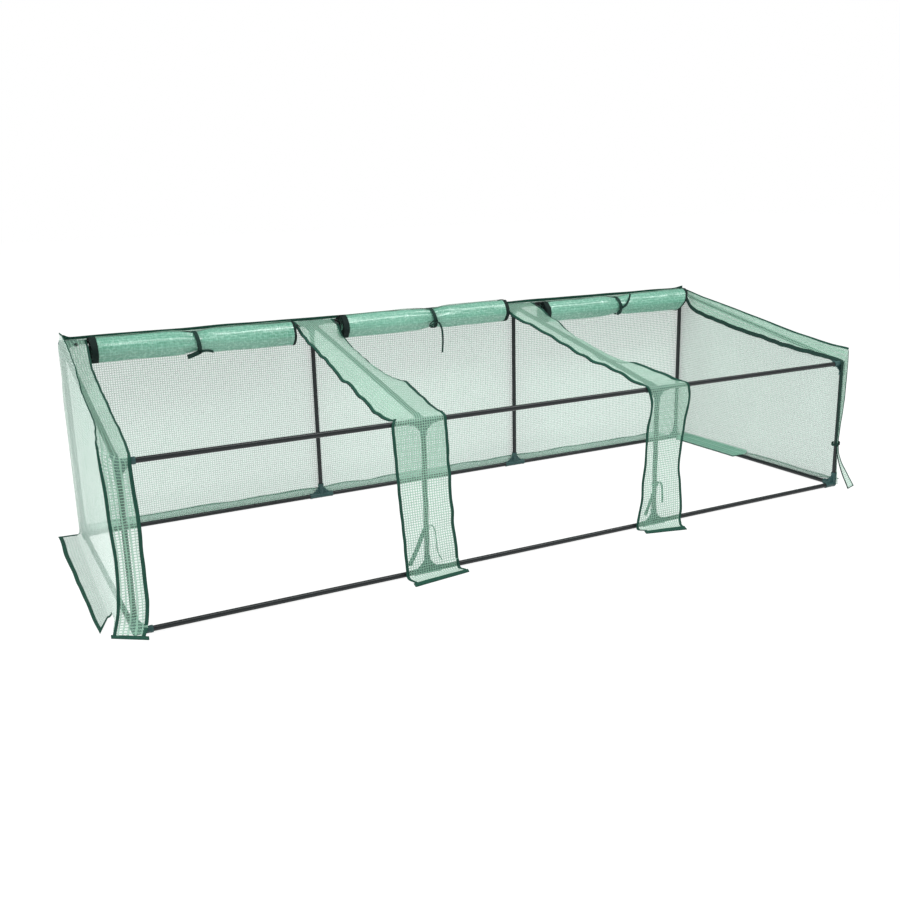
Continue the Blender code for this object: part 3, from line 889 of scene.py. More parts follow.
@dataclass(frozen=True)
class Connectors:
    """The moulded connectors: collared sleeves round a core, stiffened by curved webs."""

    sizes: TunnelSizes = SIZES
    frame: TubeFrame = TubeFrame()
    sides: int = 28
    bore: float = 0.0083
    waist: float = 0.0099
    collar: float = 0.008
    web_leg: float = 0.040
    web_thickness: float = 0.004
    web_hollow: float = 0.0022

    def sleeve(self, centre: Array, axis: Array) -> Patch:
        """Make one hollow sleeve: slim along its length, with a rounded collar at its mouth."""
        s = self.sizes
        mouth, radius = s.socket_length, s.socket_radius
        profile = np.array(
            [
                (0.003, 0.003),
                (0.003, self.waist - 0.001),
                (0.006, self.waist),
                (mouth - self.collar - 0.0015, self.waist),
                (mouth - self.collar, radius),
                (mouth - 0.0008, radius),
                (mouth, radius - 0.0007),
                (mouth, self.bore + 0.0005),
                (mouth - 0.0008, self.bore),
                (s.tube_seat - 0.0006, self.bore),
                (s.tube_seat - 0.0006, 0.003),
            ]
        )
        return revolve(profile, centre, axis, self.sides)

    def core(self, centre: Array, axis: Array) -> Patch:
        """Make the rounded core: a half circle of the socket's radius turned about an axis."""
        turn = np.linspace(0.06, math.pi - 0.06, 13)
        radius = self.sizes.socket_radius
        profile = np.stack([-radius * np.cos(turn), radius * np.sin(turn)], axis=1)
        return revolve(profile, centre, axis, self.sides, closed=False)

    def web(self, centre: Array, first: Array, second: Array) -> Patch:
        """Make a web between two sleeves: a triangle whose long side is a shallow hollow curve."""
        share = np.linspace(0, 1, 11)
        hollow = self.web_hollow * np.sin(math.pi * share)
        near = self.waist * 0.6
        reach = (self.web_leg - near) * share
        curve = stacked(self.web_leg - reach - hollow, near + reach - hollow)
        outline = np.concatenate([[(near, near)], curve])
        return plate(outline, centre, first, second, self.web_thickness)

    def build(self) -> None:
        """Make the sixteen connectors, each for its own set of tubes."""
        s = self.sizes
        inward = {"front_base": AHEAD, "back_base": -AHEAD, "front_top": -s.down, "back_top": s.down}
        for kind, centres in self.frame.joints().items():
            post = UP if kind.endswith("base") else -UP
            last = len(centres) - 1
            for index, centre in enumerate(centres):
                rails = [way for way, end in ((-RIGHT, 0), (RIGHT, last)) if index != end]
                if kind.endswith("top") or index in (0, last):
                    rails.append(inward[kind])
                patches = [self.core(centre, RIGHT), self.sleeve(centre, post)]
                patches += [self.sleeve(centre, rail) for rail in rails]
                patches += [self.web(centre, post, rail) for rail in rails]
                node = f"{kind}_connector_{index + 1}"
                name = f"{node}_moulding"
                piece = add_piece(name, patches, MOULDED, stands_for=[node], angle=35)
                edge = piece.modifiers.new("edge", "BEVEL")
                edge.width = 0.0004
                edge.segments = 2
                edge.limit_method = "ANGLE"
                edge.angle_limit = math.radians(50)


class Path:
    """A path in (y, z), read by the distance along it."""

    def __init__(self, points: Sequence[Sequence[float]]) -> None:
        """Keep the points and the distance at each."""
        self.points = np.array(points, float)
        self.lengths = run_lengths(self.points)

    @property
    def length(self) -> float:
        """Return the whole length."""
        return float(self.lengths[-1])

    def at(self, place: Array) -> tuple[Array, Array, Array, Array]:
        """Return y, z and the normal's y and z at each distance, the corners rounded over 4 mm."""
        y, z = np.moveaxis(self._read(place, 0.002), -1, 0)
        ahead = unit(self._read(place + 0.004, 0.002) - self._read(place - 0.004, 0.002))
        return y, z, ahead[..., 1], -ahead[..., 0]

    def _read(self, place: Array, soft: float) -> Array:
        """Return (y, z) at each distance, going straight on past the ends."""
        first = unit(self.points[:1] - self.points[1:2])[0]
        last = unit(self.points[-1:] - self.points[-2:-1])[0]
        points = np.concatenate([self.points[:1] + first, self.points, self.points[-1:] + last])
        lengths = np.concatenate([[-1.0], self.lengths, [self.length + 1.0]])
        rows = np.concatenate([lengths[:, None], points], axis=1)
        return table(rows, place, soft)


def arc(y: float, z: float, radius: float, start: float, end: float, count: int = 9) -> list[tuple]:
    """Return points in (y, z) on an arc about a centre, between two angles from +Y."""
    turn = np.linspace(start, end, count)
    return [(y + radius * math.cos(a), z + radius * math.sin(a)) for a in turn]


def front_path(sizes: TunnelSizes, flap: float) -> tuple[Path, float, float]:
    """Return the path from the ridge, down the slope, over the front rail and out on the ground.

    Args:
        sizes: The tunnel's sizes.
        flap: How far the ground flap reaches ahead of the front plane, or 0 to hang straight.

    Returns:
        The path, the distance to the fold over the front rail, and the distance to the ground.
    """
    start_y = sizes.ridge_edge_y + 0.002
    points = [(start_y, sizes.roof_z(start_y))]
    points += arc(sizes.front_y, sizes.front_z, sizes.film_offset, math.pi / 2 + sizes.slope, math.pi)
    fold = float(run_lengths(np.array(points))[5])
    plane = sizes.front_y - sizes.film_offset
    bend, ground_z = sizes.bend, sizes.ground_z
    points.append((plane, ground_z + bend))
    ground = float(run_lengths(np.array(points))[-1])
    if not flap:
        points.append((plane, 0.0010))
        return Path(points), fold, ground
    points += arc(plane - bend, ground_z + bend, bend, 0.0, -math.pi / 2, 7)[1:]
    points.append((plane - flap, ground_z))
    return Path(points), fold, ground


def edge_band(
    surface: Surface,
    along: Array,
    inner: float,
    outer: float,
    width: float | Array,
    thickness: float = 0.0018,
) -> Patch:
    """Make a binding along one side of a surface.

    Args:
        surface: The film as a function of distance along and share across.
        along: The distances along.
        inner: The share across at the far side, towards which the binding reaches.
        outer: The share across of the bound edge.
        width: How far the binding reaches in from the edge, at most 60% of the film: one
            number, or a column with one for each distance along.
        thickness: The folded tape's thickness.

    Returns:
        The binding, which follows the film.
    """
    shares = np.linspace(outer, inner, 81)
    points = spread(surface, along, shares)
    steps = np.linalg.norm(np.diff(points, axis=1), axis=-1)
    gone = np.concatenate([np.zeros((len(along), 1)), np.cumsum(steps, axis=1)], axis=1)
    wanted = np.linspace(0, 1, 6) * np.minimum(width, gone[:, -1:] * 0.6)
    share = np.stack([np.interp(row, run, shares) for row, run in zip(wanted, gone)])
    lines = surface(along[:, None] + 0 * share, share)
    lines[:, 0] += unit(lines[:, 0] - lines[:, 2]) * 0.0006
    return band(lines, thickness)


def end_band(
    surface: Surface, start: float, end: float, shares: Array, thickness: float = 0.0018
) -> Patch:
    """Make a binding across a surface, between two distances along it."""
    return band(surface(*np.meshgrid(np.linspace(start, end, 5), shares)), thickness)


def coil(
    path: Array, normals: Array, radius: float = 0.0010, pitch: float = 0.0030, sides: int = 6
) -> Patch:
    """Make a zip's row of teeth: a small round ridge whose radius swells once for each tooth."""
    lengths = run_lengths(path)
    places = np.arange(0, lengths[-1], pitch / 4)
    centre = read_path(path, lengths, places)
    normal = unit(read_path(normals, lengths, places))
    ahead = unit(np.gradient(centre, axis=0))
    aside = unit(np.cross(ahead, normal))
    turn = np.linspace(0, 2 * math.pi, sides, endpoint=False)[None, :, None]
    swell = radius * (0.75 + 0.25 * np.cos(2 * math.pi * places / pitch))
    ring = np.cos(turn) * aside[:, None] * 1.4 + np.sin(turn) * normal[:, None]
    points = centre[:, None] + ring * swell[:, None, None]
    uv = stacked(places[:, None], np.linspace(0, 8 * radius, sides + 1)[None, :])
    return capped(grid(points, uv, wrap_columns=True), sides)


def strip_stations(length: float, fold: float) -> Array:
    """Return distances along a strip, closer together round its fold over the front rail."""
    fine = np.linspace(fold - 0.03, fold + 0.03, 24)
    return np.unique(np.concatenate([np.linspace(0, length, 300), fine]))


@dataclass(frozen=True)
class StripShape:
    """Where a middle strip's edges run, read from the photograph.

    Each slope row is (distance from the ridge, left x, left drop, right x, right drop), and each
    front row is (distance below the fold, left x, right x), all in metres. The flap is how far
    forward its two corners reach, and the curls are how far its bindings turn down on the slope.
    """

    post_x: float
    slope: tuple[tuple[float, ...], ...]
    front: tuple[tuple[float, ...], ...]
    flap: tuple[float, float]
    curls: tuple[float, float]
    seed: int


STRIP_SHAPES = (
    StripShape(
        post_x=-0.44,
        slope=(
            (0.00, -0.516, 0.000, -0.360, 0.000),
            (0.065, -0.516, 0.010, -0.360, 0.001),
            (0.10, -0.516, 0.022, -0.361, 0.030),
            (0.21, -0.516, 0.029, -0.361, 0.046),
            (0.40, -0.516, 0.036, -0.361, 0.048),
            (0.47, -0.516, 0.049, -0.360, 0.042),
            (0.56, -0.517, 0.037, -0.360, 0.030),
            (0.64, -0.518, 0.049, -0.362, 0.006),
            (0.69, -0.518, 0.044, -0.363, 0.003),
            (0.76, -0.520, 0.053, -0.361, 0.010),
            (0.86, -0.523, 0.034, -0.362, 0.012),
            (0.92, -0.525, 0.012, -0.365, 0.002),
            (0.94, -0.540, 0.000, -0.367, 0.000),
        ),
        front=(
            (0.00, -0.549, -0.367),
            (0.05, -0.547, -0.364),
            (0.23, -0.536, -0.357),
            (0.36, -0.525, -0.349),
            (0.47, -0.518, -0.336),
            (0.53, -0.516, -0.331),
        ),
        flap=(-0.584, -0.560),
        curls=(0.0, 0.0),
        seed=11,
    ),
    StripShape(
        post_x=0.44,
        slope=(
            (0.00, 0.368, 0.000, 0.522, 0.000),
            (0.065, 0.368, 0.002, 0.522, 0.001),
            (0.12, 0.368, 0.014, 0.522, 0.012),
            (0.22, 0.369, 0.004, 0.521, 0.022),
            (0.32, 0.367, 0.003, 0.520, 0.040),
            (0.42, 0.366, 0.001, 0.516, 0.062),
            (0.53, 0.366, 0.004, 0.512, 0.064),
            (0.66, 0.366, 0.004, 0.512, 0.032),
            (0.71, 0.384, 0.000, 0.516, 0.014),
            (0.76, 0.386, 0.002, 0.520, 0.008),
            (0.88, 0.386, 0.000, 0.530, 0.002),
            (0.92, 0.388, 0.000, 0.535, 0.000),
            (0.935, 0.390, 0.000, 0.560, 0.000),
        ),
        front=(
            (0.00, 0.390, 0.568),
            (0.05, 0.408, 0.578),
            (0.12, 0.393, 0.560),
            (0.20, 0.387, 0.546),
            (0.31, 0.379, 0.537),
            (0.40, 0.371, 0.553),
            (0.455, 0.360, 0.552),
            (0.49, 0.354, 0.551),
            (0.53, 0.362, 0.500),
        ),
        flap=(-0.566, -0.600),
        curls=(0.007, -0.005),
        seed=23,
    ),
)


@dataclass(frozen=True)
class MiddleStrip:
    """A fixed strip over an inner rafter and down the front, bound at its edges, with zip teeth.

    The film is flat over the tubes, on a seat whose half width is given. Past it, the film hangs
    by the edge's drop times the share of the way to the edge to the power 1.5, and small waves
    grow towards the edge.
    """

    number: int
    shape: StripShape
    sizes: TunnelSizes = SIZES
    width: float = 0.178
    binding: float = 0.0092
    hem: float = 0.0125
    seat: float = 0.009
    rounding: float = 0.015
    wave: float = 0.0034
    crease: float = 0.0016

    def surface(self, along: Array, share: Array) -> Array:
        """Return the film's points at distances along from the ridge and shares across."""
        s, shape = self.sizes, self.shape
        path, fold, ground = self.path()
        slope = table(shape.slope, along, self.rounding)
        front = table(shape.front, along - fold, self.rounding)
        on_front = clamp((along - fold + 0.012) / 0.024)
        left = slope[..., 0] * (1 - on_front) + front[..., 0] * on_front
        right = slope[..., 2] * (1 - on_front) + front[..., 1] * on_front
        x = left + (right - left) * share
        seat_left, seat_right = shape.post_x - self.seat, shape.post_x + self.seat
        reach_left = clamp((seat_left - x) / (seat_left - left))
        reach_right = clamp((x - seat_right) / (right - seat_right))
        low = clamp((along - 0.6) / 0.1)
        hang = slope[..., 1] * reach_left**1.5 + slope[..., 3] * reach_right**1.5
        hang = hang + shape.curls[0] * clamp(1 - share / 0.06)
        hang = hang + shape.curls[1] * clamp((share - 0.94) / 0.06) * low
        hang = hang * clamp((fold - 0.008 - along) / 0.03) * clamp(along / 0.03)
        free = np.maximum(reach_left, reach_right)
        ends = clamp(along / 0.08) * np.clip((path.length - along) / 0.03, 0.3, 1)
        calm = 1 - 0.75 * np.exp(-(((along - fold) / 0.03) ** 2))
        waves = ripple(along, x, shape.seed, 0.09) * self.wave * (0.25 + 0.75 * free) * ends * calm
        waves = waves + crumple(along, x, shape.seed + 5, 0.07) * self.crease * ends * calm
        y, z, ny, nz = path.at(along)
        on_ground = clamp((along - ground) / 0.02)
        lift = waves * (1 - 0.6 * on_ground) + 0.0015 * on_ground
        lift = np.where(along > ground - 0.02, np.abs(lift), np.maximum(lift, -0.0006 - 0.012 * free))
        droop = ((-0.045, 0.0), (-0.014, 0.0060), (0.0, -0.0010))
        lift = lift + table(droop, along - path.length, 0.002)[..., 0]
        flap_y = shape.flap[0] + (shape.flap[1] - shape.flap[0]) * share
        base_reach = s.front_y - s.film_offset
        stretch = (flap_y - base_reach) / (path.points[-1, 0] - base_reach)
        y = np.where(along > ground, base_reach + (y - base_reach) * stretch, y)
        return stacked(x, y + ny * lift - ny * hang, z + nz * lift - nz * hang)

    def path(self) -> tuple[Path, float, float]:
        """Return the strip's path with its fold and ground distances."""
        return front_path(self.sizes, 0.060)

    def build(self) -> None:
        """Make the strip's film, its bindings, its hem and its zip teeth."""
        path, fold, _ = self.path()
        name = f"strip_{self.number}"
        along = strip_stations(path.length, fold)
        shares = np.linspace(0, 1, 37)
        across = (shares - 0.5) * self.width
        uv = stacked(across[None, :], along[:, None])
        film = grid(spread(self.surface, along, shares), uv)
        long = np.linspace(0, path.length, 360)
        trims = []
        for label, outer in (("left", 0.0), ("right", 1.0)):
            inner = 1.0 - outer
            edge = edge_band(self.surface, long, inner, outer, self.binding, 0.0028)
            trims.append(add_piece(f"{name}_{label}_binding", [edge], EDGING))
            teeth_at = np.linspace(0.03, fold - 0.03, 400)
            share = outer + (inner - outer) * (-0.0016 / self.width)
            line = self.surface(teeth_at, np.full_like(teeth_at, share))
            near = self.surface(teeth_at, np.full_like(teeth_at, share + (inner - outer) * 0.05))
            normal = unit(np.cross(np.gradient(line, axis=0), near - line))
            trims.append(add_piece(f"{name}_{label}_zip_teeth", [coil(line, normal)], ZIP_TAPE))
        wide = np.linspace(-0.03, 1.03, 40)
        hem = end_band(self.surface, path.length - self.hem, path.length + 0.001, wide, 0.0026)
        trims.append(add_piece(f"{name}_hem_binding", [hem], EDGING))
        add_cloth(
            f"{name}_film",
            [film],
            COVER,
            (self.width, round(path.length, 3)),
            trims,
            stands_for=[f"middle_strip_{self.number}"],
        )


@dataclass(frozen=True)
class BackCover:
    """The back wall with its lap over the ridge tube and its ground skirt.

    The film follows a path in (y, z) and bulges out between the uprights as the product of two
    sine humps, with creases that run mostly up and down.
    """

    sizes: TunnelSizes = SIZES
    skirt: float = 0.120
    bulge: float = 0.009
    half_length: float = 1.327
    hem: float = 0.014
    wave: float = 0.0028
    crease: float = 0.0032
    skirt_wave: float = 0.0035

    def path(self) -> Path:
        """Return the path from the lap's edge over the ridge, down the wall and out on the ground."""
        s = self.sizes
        wall_y, bend_z = s.back_y + s.film_offset, s.ground_z + s.bend
        points = [(s.ridge_edge_y, s.roof_z(s.ridge_edge_y))]
        points += arc(s.back_y, s.ridge_z, s.film_offset, math.pi / 2 + s.slope, 0.0)
        points += [(wall_y, bend_z)]
        points += arc(wall_y + s.bend, bend_z, s.bend, math.pi, 1.5 * math.pi, 7)[1:]
        points.append((wall_y + self.skirt, s.ground_z))
        return Path(points)

    def surface(self, along: Array, share: Array) -> Array:
        """Return the film's points at distances along the path and shares of the length."""
        s = self.sizes
        x = self.half_length * (2 * share - 1)
        y, z, _, _ = self.path().at(along)
        height = clamp((z - s.base_z) / (s.ridge_z - s.base_z))
        on_wall = np.where(along < 0.04, 0.0, np.sin(math.pi * height) ** 0.7)
        bay = (x - s.frame_xs[0]) / (s.frame_xs[1] - s.frame_xs[0])
        hump = np.sin(math.pi * np.clip(bay, 0, 3)) ** 2
        billow = self.bulge * on_wall * hump
        waves = self.wave * ripple(x, z * 0.35, 31, 0.21)
        waves = waves + self.crease * crumple(x, z * 0.45, 37, 0.16)
        on_ground = clamp((y - s.back_y - 0.03) / 0.03) * (z < 0.02)
        skirt = self.skirt_wave * (1 + ripple(x, y, 41, 0.17)) * on_ground
        y = y + (billow + np.maximum(waves * on_wall, -0.0015)) * (on_wall > 0)
        y = y + 0.006 * ripple(x, x * 0, 43, 0.5) * on_ground
        x = x * (1 - 0.010 * on_ground)
        on_lap = clamp((s.ridge_edge_y + 0.03 - y) / 0.02) * (z > 0.5)
        return stacked(x, y, z + skirt + 0.0015 * ripple(x, x * 0, 47, 0.3) * on_lap)

    def build(self) -> None:
        """Make the film, its ridge binding and its hem."""
        path = self.path()
        near, far = np.linspace(0, 0.05, 24), np.linspace(0.05, path.length, 130)
        along = np.unique(np.concatenate([near, far]))
        shares = np.linspace(0, 1, 420)
        uv = stacked((shares * 2 * self.half_length)[None, :], along[:, None])
        film = grid(spread(self.surface, along, shares), uv)
        wide = np.linspace(-0.002, 1.002, 500)
        hem = end_band(self.surface, path.length - self.hem, path.length + 0.001, wide)
        trims = [add_piece("back_skirt_hem_binding", [hem], EDGING), self.ridge_binding()]
        add_cloth(
            "back_wall_film",
            [film],
            WALL,
            (2 * self.half_length, round(path.length, 3)),
            trims,
            stands_for=["back_cover"],
        )

    def ridge_binding(self) -> bpy.types.Object:
        """Make the binding along the ridge seam: a folded tape that stands up and wavers."""
        s = self.sizes
        low, high = -s.end_x + 0.004, s.end_x + 0.003
        x = np.linspace(low, high, 420)
        tip = 0.010 * np.exp(-(((x - low) / 0.014) ** 2)) + 0.008 * np.exp(-(((x - high) / 0.030) ** 2))
        waver = 0.0022 * ripple(x, x * 0, 53, 0.22)
        foot = stacked(x, s.back_y - 0.004 + 0.5 * waver, s.ridge_z + s.film_offset - 0.001)
        lean = unit(stacked(0.0, -0.35 + 12 * waver, 1.0))
        reach = np.linspace(0, 1, 5)[None, :] * (0.0115 + tip + waver * 0.5)[:, None]
        lines = foot[:, None, :] + lean[:, None, :] * reach[..., None]
        return add_piece("ridge_binding", [band(lines, 0.0030)], EDGING)


@dataclass(frozen=True)
class EndShape:
    """How one end of the cover hangs, read from the photograph.

    Seam rows are (y, reach of the corner seam outwards from the end frame, rise above the roof
    plane). Inner rows are (y, x inside the end frame, drop below the roof plane). Front rows are
    (z, outer reach, inner reach), both outwards. The flap is where the front strip's two edges
    end in Y. The inner widths are those of the inner binding on the slope, on the front and on
    the tail. Tail rows, for a strip tied to its post, are (distance past the knot, reach
    outwards, y, z, half width).
    """

    side: Side
    seam: tuple[tuple[float, float, float], ...]
    foot: tuple[float, float]
    inner: tuple[tuple[float, float, float], ...]
    front: tuple[tuple[float, float, float], ...]
    flap: tuple[float, float]
    inner_widths: tuple[float, float, float]
    corner_width: float
    seed: int
    tail: tuple[tuple[float, ...], ...] = ()


END_SHAPES = (
    EndShape(
        side=Side.LEFT,
        seam=(
            (-0.515, 0.048, 0.038),
            (-0.42, 0.034, 0.024),
            (-0.35, 0.024, 0.022),
            (-0.29, 0.016, 0.014),
            (-0.17, 0.0135, 0.006),
            (-0.05, 0.012, 0.006),
            (0.00, 0.010, 0.022),
            (0.07, 0.007, 0.036),
            (0.15, 0.005, 0.042),
            (0.27, 0.003, 0.040),
            (0.39, 0.000, 0.030),
            (0.445, -0.008, 0.016),
        ),
        foot=(0.016, 0.040),
        inner=(
            (-0.515, 0.034, 0.0),
            (-0.44, 0.041, 0.004),
            (-0.31, 0.047, 0.010),
            (-0.20, 0.048, 0.015),
            (-0.13, 0.048, 0.004),
            (-0.04, 0.049, 0.010),
            (0.05, 0.050, 0.002),
            (0.15, 0.053, 0.002),
            (0.25, 0.063, 0.002),
            (0.35, 0.073, 0.0),
            (0.43, 0.078, 0.0),
        ),
        front=(
            (0.0, 0.060, -0.010),
            (0.025, 0.055, -0.029),
            (0.08, 0.044, -0.041),
            (0.15, 0.037, -0.041),
            (0.23, 0.035, -0.040),
            (0.33, 0.041, -0.041),
            (0.41, 0.042, -0.036),
            (0.47, 0.048, -0.034),
            (0.54, 0.049, -0.032),
        ),
        flap=(-0.489, -0.541),
        inner_widths=(0.0064, 0.0098, 0.0098),
        corner_width=0.0083,
        seed=61,
    ),
    EndShape(
        side=Side.RIGHT,
        seam=(
            (-0.515, 0.0125, 0.046),
            (-0.44, 0.0130, 0.034),
            (-0.26, 0.0145, 0.020),
            (-0.04, 0.0150, 0.014),
            (0.15, 0.0145, 0.008),
            (0.30, 0.0135, 0.002),
            (0.445, 0.010, 0.004),
        ),
        foot=(0.015, 0.016),
        inner=(
            (-0.515, 0.020, 0.002),
            (-0.46, 0.022, 0.010),
            (-0.38, 0.022, 0.022),
            (-0.31, 0.022, 0.032),
            (-0.20, 0.022, 0.043),
            (0.08, 0.022, 0.062),
            (0.29, 0.022, 0.066),
            (0.335, 0.026, 0.052),
            (0.355, 0.040, 0.012),
            (0.43, 0.044, 0.0),
        ),
        front=(
            (0.0, 0.0040, -0.016),
            (0.17, -0.0050, -0.019),
            (0.27, 0.0050, -0.021),
            (0.33, 0.0125, -0.021),
            (0.45, 0.0165, -0.020),
            (0.54, 0.0145, -0.019),
        ),
        flap=(-0.520, -0.520),
        inner_widths=(0.0160, 0.0130, 0.0045),
        corner_width=0.0035,
        seed=71,
        tail=(
            (0.0, -0.012, -0.5165, 0.170, 0.0060),
            (0.03, -0.011, -0.5190, 0.140, 0.0055),
            (0.075, -0.004, -0.5300, 0.097, 0.0085),
            (0.125, 0.012, -0.5430, 0.052, 0.0140),
            (0.18, 0.025, -0.5640, 0.005, 0.0180),
        ),
    ),
)


@dataclass(frozen=True)
class EndCover:
    """An end wall with its skirt, and the strip over the end rafter and down the front.

    The bare front is the stretch at the wall's front end that has no skirt, and the curl is the
    height under which the front edge swings towards its flap.
    """

    shape: EndShape
    sizes: TunnelSizes = SIZES
    skirt_x: float = 1.407
    bare_front: float = 0.16
    curl: float = 0.080
    rounding: float = 0.02
    wave: float = 0.0034
    crease: float = 0.0036
    skirt_wave: float = 0.0035
    knot_z: float = 0.170
    wall_flat: tuple[float, float] = (0.954, 0.780)
    wall_area: float = 0.640

    @property
    def label(self) -> str:
        """Return left or right."""
        return self.shape.side.name.lower()

    @property
    def rafter(self) -> str:
        """Return the name of the rafter that this end hangs on."""
        return f"rafter_{1 if self.shape.side is Side.LEFT else 4}"

    @property
    def front_plane(self) -> float:
        """Return the Y of the film in front of the posts."""
        return self.sizes.front_y - self.sizes.film_offset

    def seam_z(self, y: Array) -> Array:
        """Return the height of the corner seam at each Y."""
        return self.sizes.roof_z(y) + table(self.shape.seam, y, self.rounding)[..., 1]

    def curl_y(self, z: Array, share: Array | float) -> Array:
        """Return how far the front edge swings in Y near the ground, more with each step down."""
        low, high = self.shape.flap
        target = low + (high - low) * share - self.front_plane
        return target * clamp((self.curl - z) / self.curl) ** 1.2

    def wall(self, y: Array, down: Array) -> Array:
        """Return the wall's points at each Y and share of the way down from its seam.

        The wall bulges by a product of two sine humps, with waves that fade at its edges. Its
        front edge follows the front strip's outer edge.
        """
        s, shape = self.sizes, self.shape
        top = self.seam_z(y) - 0.001
        z = top + (s.bend + self.hitch(y) - top) * down
        share = clamp((y - self.front_plane) / (s.back_y - self.front_plane))
        soft = np.sqrt(clamp(np.sin(math.pi * share) * np.sin(math.pi * clamp(down))))
        waves = self.wave * ripple(y, z * 0.5, shape.seed, 0.16)
        waves = waves + self.crease * crumple(y, z * 0.7, shape.seed + 3, 0.13)
        seam_out = table(shape.seam, y, self.rounding)[..., 0]
        foot_out = shape.foot[1] + (shape.foot[0] - shape.foot[1]) * share
        ease = np.sin(clamp(down / 0.35) * math.pi / 2)
        billow = 0.006 * soft**2 + np.maximum(waves, -0.001) * soft
        reach = seam_out + (foot_out - seam_out) * ease + billow
        behind = clamp((y - s.back_y) / s.film_offset)
        below_seam = clamp(down / 0.06)
        reach = np.maximum(reach, (s.film_offset - 0.0082 * behind) * below_seam)
        reach = reach + (0.0055 - reach) * behind * below_seam
        near = np.exp(-(((y - self.front_plane) / 0.06) ** 2)) * clamp(down / 0.12)
        corner = table(shape.front, z, self.rounding)[..., 0]
        reach = reach + (corner - reach) * near
        y = y + self.curl_y(z, 0.0) * near
        return stacked(shape.side.value * (s.end_x + reach), y, z)

    def hitch(self, y: Array) -> Array:
        """Return how far the left wall's foot is hitched up towards its back corner."""
        left = 1.0 if self.shape.side is Side.LEFT else 0.0
        return left * 0.018 * np.exp(-(((self.sizes.back_y + 0.012 - y) / 0.13) ** 2))

    def skirt(self, y: Array, out: Array) -> Array:
        """Return the skirt's points at each Y and share of the way out from the wall's foot.

        It turns from the wall through a quarter circle onto the ground and runs out to its hem,
        which its front end reaches ahead of the wall's foot.
        """
        s, shape = self.sizes, self.shape
        foot = self.wall(y, np.ones_like(y))
        inner_x = np.abs(foot[..., 0])
        turn = clamp(out / 0.25) * math.pi / 2
        run = clamp((out - 0.25) / 0.75)
        ground = 0.0010 + self.hitch(y) * 0.5
        x = inner_x + s.bend * (1 - np.cos(turn)) + (self.skirt_x - inner_x - s.bend) * run
        z = foot[..., 2] - (foot[..., 2] - ground) * np.sin(turn)
        front = s.front_y + self.bare_front
        ahead = 0.112 * clamp((front + 0.30 - y) / 0.30) ** 2
        wave = self.skirt_wave * (1 + ripple(y, x, shape.seed + 9, 0.15))
        edge = 0.006 * ripple(y, 0 * y, shape.seed + 12, 0.4)
        return stacked(shape.side.value * (x + edge * run), y - ahead * run, z + wave * run)

    def strip_path(self) -> tuple[Path, float, float, float]:
        """Return the strip's path, its fold, its knot (or its end, if untied) and its length."""
        s = self.sizes
        path, fold, ground = front_path(s, 0.0)
        if not self.shape.tail:
            return path, fold, path.length, path.length
        knot = ground - (self.knot_z - s.bend - s.ground_z)
        return path, fold, knot, knot + self.shape.tail[-1][0]

    def strip(self, along: Array, share: Array) -> Array:
        """Return the strip's points: from the corner seam (0) over the rafter to its inner edge (1).

        Four lines run the strip's length: the seam, the rafter's top, its shoulder and the inner
        edge. The film is read straight between them and averaged over near shares. Past a knot
        the strip follows its tail's middle line.
        """
        s, shape = self.sizes, self.shape
        path, fold, knot, length = self.strip_path()
        y, z, ny, nz = path.at(np.minimum(along, knot) if shape.tail else along)
        on_front = clamp((along - fold + 0.010) / 0.020)
        seam = table(shape.seam, y, self.rounding)
        inner = table(shape.inner, y, 0.012)
        front = table(shape.front, z, self.rounding)
        rise = seam[..., 1] * clamp((z - s.front_z + 0.10) / 0.10) ** 1.5
        drop = inner[..., 1] * (1 - on_front)
        out_x = s.end_x + seam[..., 0] * (1 - on_front) + front[..., 0] * on_front
        in_x = s.end_x - inner[..., 0] * (1 - on_front) + front[..., 1] * on_front
        ridge_x = np.minimum(s.end_x + 0 * y, out_x - 0.002)
        shoulder = np.maximum(s.end_x - 0.010 + 0 * y, in_x + 0.004)
        shoulder = shoulder + ((ridge_x * 0.4 + in_x * 0.6) - shoulder) * on_front
        ridge_x = ridge_x + ((out_x * 0.55 + in_x * 0.45) - ridge_x) * on_front
        lines_x = [out_x, ridge_x, shoulder, in_x]
        lines_lift = [rise, np.maximum(rise * 0.15, 0), -0.12 * drop, -drop]
        x = self.across(lines_x, share)
        lift = self.across(lines_lift, share)
        z = z + lift
        free = clamp((share - 0.46) / 0.54)
        loose = 0.0026 if shape.side is Side.LEFT else 0.0012
        waves = (loose * free + 0.0006) * ripple(along, x, shape.seed + 21, 0.10)
        waves = np.where(z < 0.03, np.abs(waves), waves) * np.clip((length - along) / 0.02, 0.2, 1)
        push = np.maximum(waves, -0.0015 - 0.01 * free)
        swing = self.curl_y(z, clamp((out_x - x) / (out_x - in_x))) * on_front
        points = stacked(x, y + ny * push + swing, z + nz * push)
        if shape.tail:
            points = self.tied(points, along - knot, share)
        return points * np.array([shape.side.value, 1.0, 1.0])

    @staticmethod
    def across(lines: Sequence[Array], share: Array) -> Array:
        """Return four lines' values read straight between their shares and averaged near corners."""
        stops = (0.0, 0.30, 0.46, 1.0)
        total = 0
        for offset in np.linspace(-0.06, 0.06, 5):
            place = clamp(share + offset * 4 * share * (1 - share))
            value = lines[0]
            for (low, high), (first, second) in zip(zip(stops, stops[1:]), zip(lines, lines[1:])):
                value = value + (second - first) * clamp((place - low) / (high - low))
            total = total + value
        return total / 5

